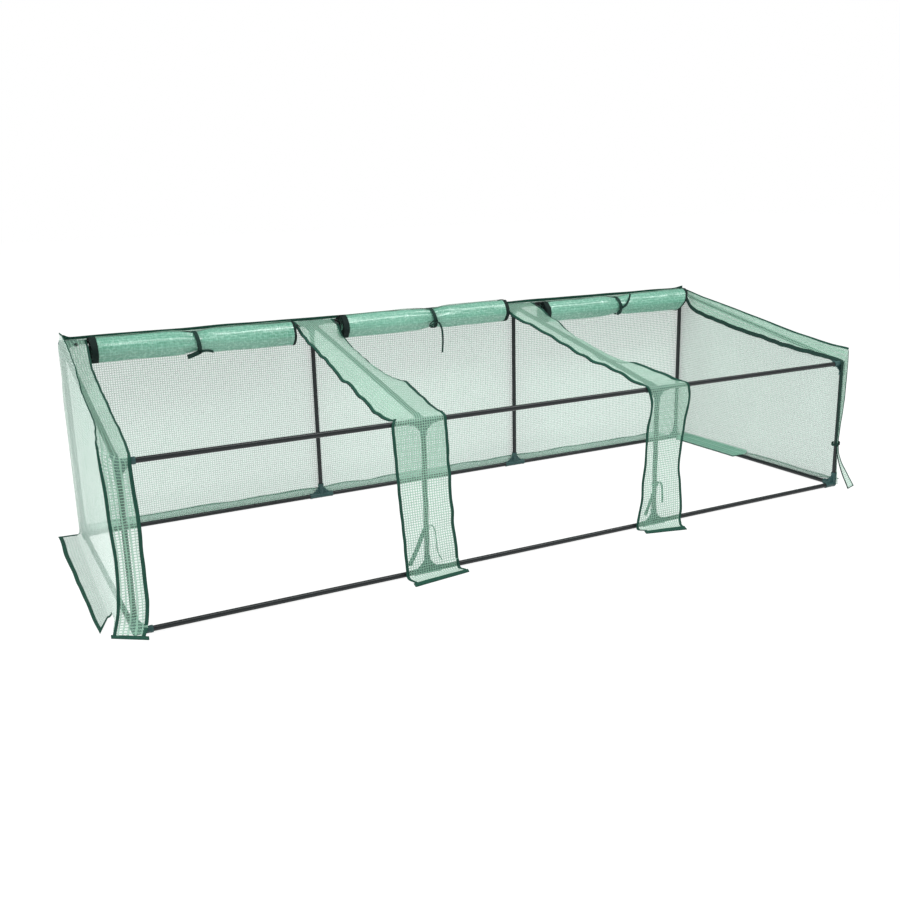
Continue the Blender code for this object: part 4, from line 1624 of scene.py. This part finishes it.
    def tied(self, points: Array, past: Array, share: Array) -> Array:
        """Return the strip's points led over, past its knot, onto the tail's middle line."""
        rows = np.array(self.shape.tail)
        middle = table(rows, past, 0.012)
        ahead = table(rows, past + 0.004, 0.012)[..., :3] - table(rows, past - 0.004, 0.012)[..., :3]
        ahead = unit(ahead - UP * 1e-4)
        aside = stacked(-ahead[..., 2], 0.0, ahead[..., 0])
        line = middle[..., :3] + RIGHT * self.sizes.end_x
        tail = line + aside * (middle[..., 3] * (1 - 2 * share))[..., None]
        part = clamp((past + 0.02) / 0.02)
        part = (part * part * (3 - 2 * part))[..., None]
        return points + (tail - points) * part

    def build(self) -> None:
        """Make the wall with its skirt, the strip, the bindings and the hems."""
        self.build_wall()
        self.build_strip()
        if self.shape.side is Side.RIGHT:
            self.build_foot_fold()

    def build_wall(self) -> None:
        """Make the end wall and its skirt as one film, with the skirt's hem and the corner seam."""
        s, shape = self.sizes, self.shape
        back, cut_y = s.back_y + s.film_offset, s.front_y + self.bare_front
        ys = np.linspace(back, self.front_plane, 150)
        wall = self.wall(*np.meshgrid(ys, np.linspace(0, 1, 90)))
        skirt_ys, outs = np.meshgrid(ys[ys >= cut_y], np.linspace(0, 1, 26))
        skirt = self.skirt(skirt_ys, outs)
        hems = [band(spread(self.skirt, np.linspace(back, cut_y, 160), np.linspace(0.82, 1.01, 5)), 0.0018)]
        for low, high in ((cut_y - 0.001, cut_y + 0.012), (back - 0.012, back + 0.001)):
            lines = self.skirt(*np.meshgrid(np.linspace(low, high, 5), np.linspace(0, 1, 24)))
            hems.append(band(lines, 0.0018))
        trims = [add_piece(f"{self.label}_skirt_binding", hems, EDGING)]
        top_y = np.linspace(back, self.front_plane, 240)
        lean = unit(np.array([shape.side.value * 0.25, 0.0, 1.0]))
        waver = 0.0012 * ripple(top_y, 0 * top_y, shape.seed + 31, 0.11)
        foot = self.wall(top_y, np.zeros_like(top_y)) + RIGHT * waver[:, None]
        fin = foot[:, None, :] + lean * np.linspace(-0.003, 0.0045, 5)[None, :, None]
        trims.append(add_piece(f"{self.label}_corner_seam_binding", [band(fin, 0.0034)], EDGING))
        add_cloth(
            f"{self.label}_wall_film",
            [grid(wall, wall[..., 1:]), grid(skirt, stacked(skirt_ys, -outs * 0.07))],
            END_WALL,
            self.wall_flat,
            trims,
            stands_for=[f"{self.label}_end_cover"],
        )

    def ground_hem(self, length: float) -> Patch:
        """Make the straight hem on the ground, which sticks out past both bindings."""
        ends = self.strip(np.full(2, length), np.array([0.0, 1.0]))
        way = unit(ends[1] - ends[0])
        start, stop = ends[0] - way * 0.004, ends[1] + way * 0.013
        share = np.linspace(0, 1, 24)[:, None, None]
        rise = np.linspace(-0.0006, 0.0105, 5)[None, :, None] * UP
        return band(start + (stop - start) * share + rise, 0.0032)

    def foot_fold(self, y: Array, share: Array) -> Array:
        """Return the film folded inwards over the base rail, from the wall (0) to the ground (1).

        Rows of (share, reach from the rail, height) give its section, which shrinks up onto the
        rail towards the fold's front end.
        """
        rail_top = 0.0232
        rows = (
            (0.0, 0.0138, 0.038),
            (0.30, 0.0115, 0.0265),
            (0.45, 0.0, rail_top),
            (0.60, -0.0118, 0.0180),
            (0.80, -0.0135, 0.0090),
            (1.0, -0.0160, 0.0016),
        )
        read = table(rows, share, 0.05)
        fade = clamp((y + 0.02) / 0.05)
        kept = 1 - (1 - fade) * clamp((share - 0.45) / 0.1)
        waves = 0.0022 * ripple(y, share * 0.03, self.shape.seed + 41, 0.13) * share
        x = self.sizes.end_x + (read[..., 0] - np.abs(waves)) * kept
        return stacked(self.shape.side.value * x, y, rail_top + (read[..., 1] - rail_top) * kept)

    def build_foot_fold(self) -> None:
        """Make the stretch of the wall's foot that is folded inwards over the base rail."""
        ys = np.linspace(0.400, -0.02, 130)
        shares = np.linspace(0, 1, 30)
        points = spread(self.foot_fold, ys, shares)
        width = float(run_lengths(points[0])[-1])
        uv = stacked(ys[:, None], shares[None, :] * width)
        edge = band(spread(self.foot_fold, ys, np.linspace(0.86, 1.0, 5)), 0.0016)
        trims = [add_piece(f"{self.label}_foot_fold_binding", [edge], EDGING)]
        add_cloth(
            f"{self.label}_foot_fold_film",
            [grid(points, uv)],
            FOLDED,
            (round(width, 4), round(float(ys[0] - ys[-1]), 3)),
            trims,
        )

    def build_strip(self) -> None:
        """Make the strip over the rafter and down the front, with its bindings."""
        shape = self.shape
        _, fold, knot, length = self.strip_path()
        along = strip_stations(length, fold)
        shares = np.linspace(0, 1, 31)
        points = spread(self.strip, along, shares)
        long = np.linspace(0, length, 380)
        slope_width, front_width, tail_width = shape.inner_widths
        stops = (fold - 0.03, fold + 0.02, knot - 0.02, knot + 0.01)
        widths = np.interp(long, stops, (slope_width, front_width, front_width, tail_width))[:, None]
        corner = np.linspace(fold - 0.06, length, 240)
        corner_widths = np.interp(corner, (fold - 0.06, fold + 0.02), (0.0015, shape.corner_width))
        inner_edge = edge_band(self.strip, long, 0.0, 1.0, widths)
        corner_edge = edge_band(self.strip, corner, 1.0, 0.0, corner_widths[:, None])
        if shape.tail:
            hem = end_band(self.strip, length - 0.006, length + 0.0005, np.linspace(0.0, 1.0, 30), 0.0020)
        else:
            hem = self.ground_hem(length)
        trims = [
            add_piece(f"{self.label}_strip_{part}_binding", [patch], finish)
            for part, patch, finish in (
                ("inner", inner_edge, TIE_TAPE if shape.tail else EDGING),
                ("corner", corner_edge, EDGING),
                ("hem", hem, EDGING),
            )
        ]
        flat_width = float(np.linalg.norm(np.diff(points, axis=1), axis=-1).sum(axis=1).mean())
        uv = stacked((shares * flat_width)[None, :], along[:, None])
        add_cloth(
            f"{self.label}_strip_film",
            [grid(points, uv)],
            COVER,
            (round(flat_width, 3), round(length, 3)),
            trims,
        )


@dataclass(frozen=True)
class DoorShape:
    """Where a rolled door sits, by the X of its two ends, and how it was rolled.

    The lifts raise the two ends of a roll that was rolled unevenly, the swell widens its right
    end, the slant is how much further its top reaches right than its underside, the right tape
    is the width of the zip tape at its right end, the tied is how far right of its middle the
    tie goes round, and the knot is where the tie is knotted, in degrees below straight ahead.
    """

    number: int
    left: float
    right: float
    lifts: tuple[float, float]
    swell: float
    slant: float
    right_tape: float
    tied: float
    knot: float
    seed: int

    @property
    def length(self) -> float:
        """Return the roll's length."""
        return self.right - self.left


DOORS = (
    DoorShape(1, -1.241, -0.532, (-0.003, -0.004), 0.04, 0.0, 0.009, 0.0, 56.0, 101),
    DoorShape(2, -0.349, 0.362, (0.003, 0.013), 0.02, 0.0, 0.016, 0.024, 10.0, 113),
    DoorShape(3, 0.540, 1.292, (-0.008, -0.004), 0.12, 0.050, 0.014, 0.0, 12.0, 127),
)


@dataclass(frozen=True)
class RolledDoor:
    """A door rolled up under the ridge: a spiral of film, drawn in where it is tied.

    The roll's radius falls evenly with the angle from its outer turn to its core. Its outside is
    pinched near the tie and wanders a little along its length, and creases run along it. The
    leader insets are how far its leader stops short of the frame on its right, for an inner
    frame and for the end one.
    """

    shape: DoorShape
    sizes: TunnelSizes = SIZES
    radius: float = 0.0432
    core: float = 0.012
    turns: int = 8
    turn_points: int = 40
    left_tape: float = 0.021
    pinch: float = 0.21
    pinch_reach: float = 0.040
    tie_width: float = 0.014
    leader_insets: tuple[float, float] = (0.083, 0.046)

    @property
    def middle(self) -> float:
        """Return the X of the roll's middle."""
        return (self.shape.left + self.shape.right) / 2

    def tape_runs(self, low: float, high: float) -> tuple[tuple[str, float, float], ...]:
        """Return the name, start and end of the zip tape at each end of a stretch of the door."""
        return ("left", low, low + self.left_tape), ("right", high - self.shape.right_tape, high)

    def drawn(self, x: Array) -> Array:
        """Return how much of its radius the roll keeps at each distance from its middle."""
        half = self.shape.length / 2
        near = self.pinch * np.exp(-(((x - self.shape.tied) / self.pinch_reach) ** 2))
        ends = 0.02 * np.exp(-(((np.abs(x) - half) / 0.05) ** 2))
        return 1 - near - ends + self.shape.swell * clamp(x / half) ** 2

    def lift(self, x: Array) -> Array:
        """Return how far the roll stands above its axis at each distance from its middle."""
        low, high = self.shape.lifts
        return low + (high - low) * clamp(x / self.shape.length + 0.5)

    def spiral(self, x: Array, turn: Array, swell: float = 0.0) -> Array:
        """Return the rolled film's points at each distance along the roll and angle into it.

        The outer turns are flattened into a few long facets, puffed and creased lengthwise, and
        bunched into folds that fan out from the tie. The ends slant, as the turns slid sideways.
        """
        s, seed = self.sizes, self.shape.seed
        total = 2 * math.pi * self.turns
        share = turn / total
        radius = self.radius + (self.core - self.radius) * share
        outer = clamp(1 - share * self.turns / 1.6)
        puff = 0.0016 * ripple(x, turn * 0.02, seed, 0.12)
        facet = 0.0009 * np.sin(5 * turn + 0.9 * ripple(x, 0 * x, seed + 4, 0.5))
        facet = facet + 0.0007 * np.sin(8 * turn + x * 3)
        crease = (crumple(x * 0.10, turn * 0.044, seed + 1, 0.017) - 0.5) * 0.0040
        from_tie = x - self.shape.tied
        near = np.exp(-((from_tie / 0.060) ** 2)) * clamp(np.abs(from_tie) / 0.015)
        bunch = 0.0036 * near * np.sin(turn * 9 + 2.0 * np.sign(from_tie))
        shape = np.minimum(puff + facet + crease + bunch, 0.0012)
        radius = radius * self.drawn(x) + shape * outer + swell
        angle = math.pi / 2 + turn
        y = s.roll_y + radius * np.cos(angle)
        z = s.roll_z + self.lift(x) + radius * np.sin(angle)
        half = self.shape.length / 2
        slant = clamp(np.abs(x) / half) ** 4 * clamp(share * 6)
        slid = -0.004 * slant * np.sign(x) * (1 + 0.5 * np.sin(turn * 1.3))
        right_end = clamp(x / half) ** 6
        slid = slid - self.shape.slant * right_end * (1 - np.cos(turn)) / 2
        return stacked(self.middle + x + slid, y, z)

    def roll_patch(self, low: float, high: float, stations: int, swell: float = 0.0) -> Patch:
        """Make the spiral sheet between two distances along the roll, with UVs of the flat door."""
        x = np.linspace(low, high, stations)
        turn = np.linspace(0, 2 * math.pi * self.turns, self.turns * self.turn_points + 1)
        points = self.spiral(*np.meshgrid(x, turn), swell)
        along = run_lengths(points[:, stations // 2, 1:])
        return grid(points, stacked(x[None, :], along[:, None]))

    def build(self) -> None:
        """Make the roll, its tape ends, the leader from the ridge and the tie."""
        number = self.shape.number
        half = self.shape.length / 2
        turns = np.linspace(0, 2 * math.pi * self.turns, 400)
        length = float(run_lengths(self.spiral(0.15 + 0 * turns, turns)[:, 1:])[-1])
        ends = []
        for label, low, high in self.tape_runs(-half, half):
            patch = self.roll_patch(low, high, 9, 0.0006)
            end = mesh_object(f"door_{number}_{label}_zip_tape_roll", [patch], ZIP_TAPE, 70, sheet=True)
            thicken(end, 0.0010)
            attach(end, f"roll_{number}")
            ends.append(end)
        film = self.roll_patch(-half + 0.004, half - 0.004, 150)
        add_cloth(
            f"door_{number}_rolled_film",
            [film],
            ROLLED,
            (self.shape.length, round(length, 3)),
            ends,
            body=f"roll_{number}",
            stands_for=[f"door_roll_{number}"],
        )
        self.build_leader()
        self.build_tie()

    def leader(self, place: Array, x: Array) -> Array:
        """Return the leader's points: straight from the ridge, then round the top of the roll."""
        s = self.sizes
        start_y = s.ridge_edge_y + 0.004
        centre_z = s.roll_z + self.lift(x)
        radius = self.radius * self.drawn(x) + 0.0026
        z0 = s.roof_z(start_y) - 0.0008
        run, rise = start_y - s.roll_y, z0 - centre_z
        touch = np.arctan2(rise, run) + np.arccos(clamp(radius / np.hypot(run, rise)))
        straight = np.sqrt(np.maximum(run**2 + rise**2 - radius**2, 1e-8))
        total = straight + radius * (math.pi / 2 + 0.12 - touch)
        way = place * total
        part = clamp(way / straight)
        turn = touch + np.maximum(way - straight, 0) / radius
        tangent_y, tangent_z = s.roll_y + radius * np.cos(touch), centre_z + radius * np.sin(touch)
        free = way < straight
        y = np.where(free, start_y + (tangent_y - start_y) * part, s.roll_y + radius * np.cos(turn))
        z = np.where(free, z0 + (tangent_z - z0) * part, centre_z + radius * np.sin(turn))
        held = np.sin(math.pi * clamp(place))
        wave = 0.0012 * ripple(x, place * 0.05, self.shape.seed + 7, 0.10) * held
        return stacked(self.middle + x, y, z + wave)

    def leader_reach(self) -> tuple[float, float]:
        """Return where the leader starts and ends from the roll's middle, clear of the zip sliders."""
        s, number = self.sizes, self.shape.number
        inset = self.leader_insets[number == len(s.frame_xs) - 1]
        half = self.shape.length / 2
        return -half, min(half, s.frame_xs[number] - inset - self.middle)

    def build_leader(self) -> None:
        """Make the stretch of door between ridge and roll, which pays out as the door unrolls.
        """
        s, number = self.sizes, self.shape.number
        low, high = self.leader_reach()
        begin = np.array([self.middle, s.ridge_edge_y - 0.001, s.roof_z(s.ridge_edge_y)])
        finish = np.array([self.middle, s.roll_y + 0.004, s.roof_z(s.ridge_edge_y)])
        place = np.linspace(0, 1, 110)

        def sheet_of(x: Array) -> tuple[Array, Array]:
            """Return the leader's points and UVs at those distances from its middle."""
            points = spread(self.leader, place, x)
            share = clamp((points[..., 1] - begin[1]) / (finish[1] - begin[1]))
            paid = s.door_travel * share * share * (3 - 2 * share)
            rest = run_lengths(points[:, 0])[:, None]
            return points, stacked(x[None, :], rest + paid)

        blend = (f"door_{number}", begin, finish)
        trims = []
        for label, start, end in self.tape_runs(low, high):
            points, _ = sheet_of(np.linspace(start, end, 5))
            side = mesh_object(f"door_{number}_{label}_zip_tape", [band(points, 0.0014)], ZIP_TAPE)
            trims.append(side)
        points, uv = sheet_of(np.linspace(low + 0.004, high - 0.004, 90))
        length = float(run_lengths(points[:, 0])[-1])
        add_cloth(
            f"door_{number}_leader_film",
            [grid(points, uv)],
            COVER,
            (round(high - low, 4), round(length, 4)),
            trims,
            stands_for=[f"door_flap_{number}"],
            blend=blend,
        )

    def build_tie(self) -> None:
        """Make the tape round the roll's middle, its knot and its two tails."""
        s, number, tied = self.sizes, self.shape.number, self.shape.tied
        here = np.full(1, tied)
        radius = self.radius * self.drawn(here)[0] + 0.0038
        centre = np.array([self.middle + tied, s.roll_y, s.roll_z + float(self.lift(here)[0])])
        turn = np.linspace(0, 2 * math.pi, 61)
        loop = centre + stacked(-0.006 * np.sin(turn), radius * np.cos(turn), radius * np.sin(turn))
        aside = unit(stacked(1.0, 0.15 * np.sin(turn), 0.0))
        below = math.radians(self.shape.knot)
        way = np.array([0.006 * math.sin(below), -radius * math.cos(below), -radius * math.sin(below)])
        knot = centre + way + way * (0.0, 0.05, 0.05)
        patches = [tape(loop, aside, self.tie_width, 0.0016), tape_knot(knot, 0.0068, 0.0075)]
        patches += [tail.patch(knot, 40) for tail in TAILS[number]]
        add_piece(f"door_{number}_tie", patches, TIE_TAPE, body=f"door_{number}")


@dataclass(frozen=True)
class Tail:
    """A loose end of tape: its points past the knot, the way its width lies, and its width."""

    points: tuple[tuple[float, float, float], ...]
    aside: tuple[float, float, float]
    width: float

    def patch(self, knot: Array, count: int) -> Patch:
        """Return the tape from the knot through its points."""
        path = resample(knot + np.array([(0.0, 0.0, 0.0), *self.points]), count)
        return tape(path, unit(np.array(self.aside, float)) + 0 * path, self.width, 0.0012)


TAILS: dict[int, tuple[Tail, ...]] = {
    1: (
        Tail(
            ((-0.010, -0.006, -0.002), (-0.028, -0.008, -0.008), (-0.046, -0.006, -0.013)),
            (-0.3, -0.3, 1),
            0.017,
        ),
        Tail(((0.014, -0.007, 0.004), (0.030, -0.008, 0.003), (0.046, -0.004, -0.003)), (0, 0.3, 1), 0.009),
    ),
    2: (
        Tail(
            (
                (0.012, -0.008, -0.010),
                (0.022, -0.008, -0.036),
                (0.025, -0.006, -0.080),
                (0.021, -0.005, -0.124),
            ),
            (1, 0.2, 0.3),
            0.009,
        ),
        Tail(
            (
                (-0.012, -0.009, 0.004),
                (-0.030, -0.008, -0.008),
                (-0.036, -0.006, -0.018),
                (-0.020, -0.010, -0.012),
                (0, -0.004, -0.004),
            ),
            (0.2, -0.3, 1),
            0.008,
        ),
    ),
    3: (
        Tail(((0.018, -0.009, 0.012), (0.036, -0.006, 0.036), (0.050, 0.006, 0.058)), (0.7, 0, -0.6), 0.011),
        Tail(
            (
                (-0.006, -0.009, -0.010),
                (-0.014, -0.009, -0.026),
                (-0.028, -0.006, -0.024),
                (-0.020, -0.009, -0.006),
                (0, -0.004, 0),
            ),
            (1, 0, 0.4),
            0.009,
        ),
    ),
}


def tape_knot(centre: Array, size: float, width: float) -> Patch:
    """Make a flat tape's knot: a ribbon along a trefoil curve, squeezed front to back."""
    turn = np.linspace(0, 2 * math.pi, 73)
    x = np.sin(turn) + 2 * np.sin(2 * turn)
    z = np.cos(turn) - 2 * np.cos(2 * turn)
    y = -np.sin(3 * turn)
    path = centre + stacked(x, y * 0.9, z) * size / 3
    ahead = unit(np.gradient(path, axis=0))
    return tape(path, unit(np.cross(ahead, unit(path - centre))), width, 0.0016)


@dataclass(frozen=True)
class PostTie:
    """A tape tie round a front post: a loop, a knot in front of the post and its tails."""

    name: str
    knot: tuple[float, float, float]
    post_x: float
    tails: tuple[Tail, ...]
    finish: Finish = POST_TAPE
    sizes: TunnelSizes = SIZES
    width: float = 0.010

    def build(self) -> None:
        """Make the tie."""
        s, knot = self.sizes, np.array(self.knot)
        radius = s.tube_radius + (0.0012 if self.tails else 0.0070)
        turn = np.linspace(0, 2 * math.pi, 41)
        loop = stacked(
            self.post_x + radius * np.sin(turn),
            s.front_y - radius * np.cos(turn),
            knot[2] + 0.003 * np.sin(turn),
        )
        patches = [tape(loop, UP + 0 * loop, self.width, 0.0014), tape_knot(knot, 0.0065, 0.008)]
        patches += [tail.patch(knot, 50) for tail in self.tails]
        add_piece(self.name, patches, self.finish)


POST_TIES = (
    PostTie(
        "strip_1_post_tie",
        (-0.446, -0.5035, 0.146),
        -0.44,
        (
            Tail(
                ((-0.012, -0.001, -0.020), (-0.030, -0.002, -0.060), (-0.056, 0.0, -0.108)),
                (0.89, 0, -0.45),
                0.015,
            ),
            Tail(
                (
                    (0.016, 0, 0.012),
                    (0.032, 0, 0.002),
                    (0.037, 0, -0.040),
                    (0.039, 0, -0.080),
                    (0.056, 0, -0.112),
                ),
                (0.9, 0.3, 0.3),
                0.0035,
            ),
        ),
    ),
    PostTie(
        "strip_2_post_tie",
        (0.448, -0.5035, 0.150),
        0.44,
        (
            Tail(
                ((-0.014, -0.001, -0.024), (-0.028, -0.001, -0.062), (-0.048, 0.0, -0.108)),
                (0.9, 0, -0.4),
                0.013,
            ),
            Tail(((0.016, 0, 0.006), (0.024, 0, -0.024), (0.027, 0, -0.074)), (0.95, 0.3, 0), 0.011),
        ),
    ),
    PostTie("right_strip_tie", (1.3080, -0.5175, 0.172), 1.3165, (), TIE_TAPE),
)


@dataclass(frozen=True)
class ZipSlider:
    """A zip slider near the ridge: a flared body, a bridge and a pull with a slot."""

    number: int
    label: str
    x: float
    sizes: TunnelSizes = SIZES
    start: float = 0.045
    length: float = 0.014
    pull: float = 0.020
    sides: int = 20
    stations: int = 13

    def build(self) -> None:
        """Make the slider in the axes of the slope: down it, across it and off it."""
        s = self.sizes
        along, off = s.down, s.off
        aside = np.cross(along, off)
        ridge = np.array([self.x, s.ridge_edge_y, s.roof_z(s.ridge_edge_y)])
        origin = ridge + along * self.start + off * 0.0010
        half = self.length / 2

        def put(points: Array) -> Array:
            """Return points (…, 3) in the slope's axes as points in the frame."""
            return origin + points[..., :1] * along + points[..., 1:2] * aside + points[..., 2:] * off

        place = np.linspace(-1, 1, self.stations)
        turn = np.linspace(0, 2 * math.pi, self.sides, endpoint=False)
        wide = 0.0036 + 0.0012 * (1 - place) / 2
        fade = np.sqrt(np.clip(1 - np.abs(place) ** 6, 0.12, 1))
        cross = np.sign(np.cos(turn)) * np.abs(np.cos(turn)) ** 0.6
        tall = np.sign(np.sin(turn)) * np.abs(np.sin(turn)) ** 0.6
        across = (wide * fade)[:, None] * cross[None]
        shell = stacked((place * half)[:, None], across, 0.0021 + (0.0019 * fade)[:, None] * tall[None])
        uv = np.zeros((self.stations, self.sides + 1, 2))
        patch = capped(grid(put(shell), uv, wrap_columns=True), self.sides)
        arch = np.linspace(0, math.pi, 15)
        bridge = stacked(0.0048 * np.cos(arch) - 0.0005, 0.0, 0.0034 + 0.0014 * np.sin(arch))
        lines = bridge[:, None, :] + AHEAD * np.linspace(-0.0012, 0.0012, 5)[None, :, None]
        ring = np.linspace(0, 2 * math.pi, 33)[:-1]
        outline = stacked(np.cos(ring), np.sin(ring))
        outer = np.sign(outline) * np.abs(outline) ** 0.7 * (self.pull / 2, 0.0034)
        inner = outline * (self.pull * 0.30, 0.0016)
        start = half + self.pull / 2 - 0.003
        levels = ((outer, 0.0029), (outer, 0.0041), (inner, 0.0041), (inner, 0.0029))
        rim = np.stack([stacked(shape[:, 0] + start, shape[:, 1], level) for shape, level in levels])
        tag = grid(put(rim), np.zeros((5, 33, 2)), wrap_rows=True, wrap_columns=True)
        add_piece(
            f"door_{self.number}_{self.label}_zip_slider",
            [patch, band(put(lines), 0.0009), tag],
            ZIP_METAL,
            body=f"slider_{self.number}_{self.label}",
            stands_for=[f"zip_slider_{self.number}_{self.label}"],
            angle=45,
        )


@dataclass(frozen=True)
class Studio:
    """The photograph's camera, a pale floor, a white surround and plain soft light.

    The surround is how bright the world is for lighting, and the glossy share is how much of it
    mirrors see. The floor glows white by its glow share to camera, glossy and transmission rays.
    """

    azimuth: float = -0.47764
    elevation: float = 0.25305
    roll: float = -0.02435
    eye: tuple[float, float, float] = (-1.69222, -3.08954, 1.13528)
    lens: float = 39.635
    surround_light: float = 0.54
    glossy_share: float = 0.60
    floor_grey: float = 0.93
    floor_glow: float = 1.12
    glow_share: float = 0.82

    def camera(self) -> None:
        """Set the camera that was fitted to the photograph's frame corners."""
        az, el = self.azimuth, self.elevation
        back = np.array([math.sin(az) * math.cos(el), -math.cos(az) * math.cos(el), math.sin(el)])
        right = unit(np.cross(-back, UP))
        up = np.cross(back, right)
        turned_right = right * math.cos(self.roll) + up * math.sin(self.roll)
        turned_up = up * math.cos(self.roll) - right * math.sin(self.roll)
        data = bpy.data.cameras.new("camera")
        data.lens = self.lens
        data.sensor_width = 36.0
        data.clip_end = 60.0
        camera = bpy.data.objects.new("camera", data)
        turn = Matrix([Vector(turned_right), Vector(turned_up), Vector(back)]).transposed()
        camera.matrix_world = Matrix.Translation(self.eye) @ turn.to_4x4()
        bpy.context.scene.collection.objects.link(camera)
        bpy.context.scene.camera = camera

    def surround(self) -> None:
        """Make the world: white to the camera, dim to glossy rays, plain soft light to the rest."""
        shader = Shader(bpy.data.worlds.new("surround"))
        seen = shader.rays("Camera", "Transmission")
        level = seen * (1.0 - self.surround_light) + self.surround_light
        strength = level * (1.0 - shader.rays("Glossy") * (1.0 - self.glossy_share))
        light = shader.node("ShaderNodeBackground", {"Color": WHITE, "Strength": strength})
        shader.node("ShaderNodeOutputWorld", {"Surface": light.outputs[0]})
        bpy.context.scene.world = shader.owner

    def floor(self) -> None:
        """Make the floor: white to the camera, with the object's soft shadow kept on it."""
        shader = Shader(bpy.data.materials.new("pale_floor"))
        seen = shader.rays("Camera", "Glossy", "Transmission")
        lit = shader.node("ShaderNodeBsdfDiffuse", {"Color": (self.floor_grey,) * 3})
        glow = shader.node("ShaderNodeEmission", {"Color": WHITE, "Strength": self.floor_glow})
        inputs = {0: seen * self.glow_share, 1: lit.outputs[0], 2: glow.outputs[0]}
        mixed = shader.node("ShaderNodeMixShader", inputs)
        shader.node("ShaderNodeOutputMaterial", {"Surface": mixed.outputs[0]})
        mesh = bpy.data.meshes.new("floor")
        reach, level = 30.0, -0.0006
        corners = [(x * reach, y * reach, level) for x, y in ((-1, -1), (1, -1), (1, 1), (-1, 1))]
        mesh.from_pydata(corners, [], [(0, 1, 2, 3)])
        mesh.materials.append(shader.owner)
        floor = bpy.data.objects.new("floor", mesh)
        bpy.context.scene.collection.objects.link(floor)

    def lamps(self) -> None:
        """Set two broad soft lamps: a long one above the front and a square one off the left end."""
        for name, place, aim, size, power in (
            ("high_soft_light", (1.9, -1.5, 4.2), (1.9, 0.1, 0.4), (5.0, 0.9), 150.0),
            ("left_soft_light", (-4.6, -0.4, 2.2), (0.0, 0.0, 0.3), (2.6, 2.6), 150.0),
        ):
            data = bpy.data.lights.new(name, "AREA")
            data.shape = "RECTANGLE"
            data.size, data.size_y = size
            data.energy = power
            lamp = bpy.data.objects.new(name, data)
            lamp.location = place
            lamp.rotation_euler = (Vector(place) - Vector(aim)).to_track_quat("Z", "Y").to_euler()
            bpy.context.scene.collection.objects.link(lamp)

    def build(self) -> None:
        """Set the camera, the surround, the floor and the lamps."""
        self.camera()
        self.surround()
        self.floor()
        self.lamps()
        scene = bpy.context.scene
        scene.view_settings.view_transform = "Standard"
        scene.cycles.transparent_max_bounces = 48


def main() -> None:
    """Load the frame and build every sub-assembly round it."""
    logging.basicConfig(level=logging.INFO, format="%(message)s")
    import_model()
    Studio().build()
    TubeFrame().build()
    Connectors().build()
    BackCover().build()
    for end in END_SHAPES:
        EndCover(end).build()
    for number, shape in enumerate(STRIP_SHAPES, start=1):
        MiddleStrip(number, shape).build()
    for door in DOORS:
        RolledDoor(door).build()
    for tie in POST_TIES:
        tie.build()
    for number in (1, 2, 3):
        left_in = SIZES.end_zip_inset if number == 1 else SIZES.zip_inset
        right_in = SIZES.end_zip_inset if number == 3 else SIZES.zip_inset
        ZipSlider(number, "left", SIZES.frame_xs[number - 1] + left_in).build()
        ZipSlider(number, "right", SIZES.frame_xs[number] - right_in).build()


if __name__ == "__main__":
    main()
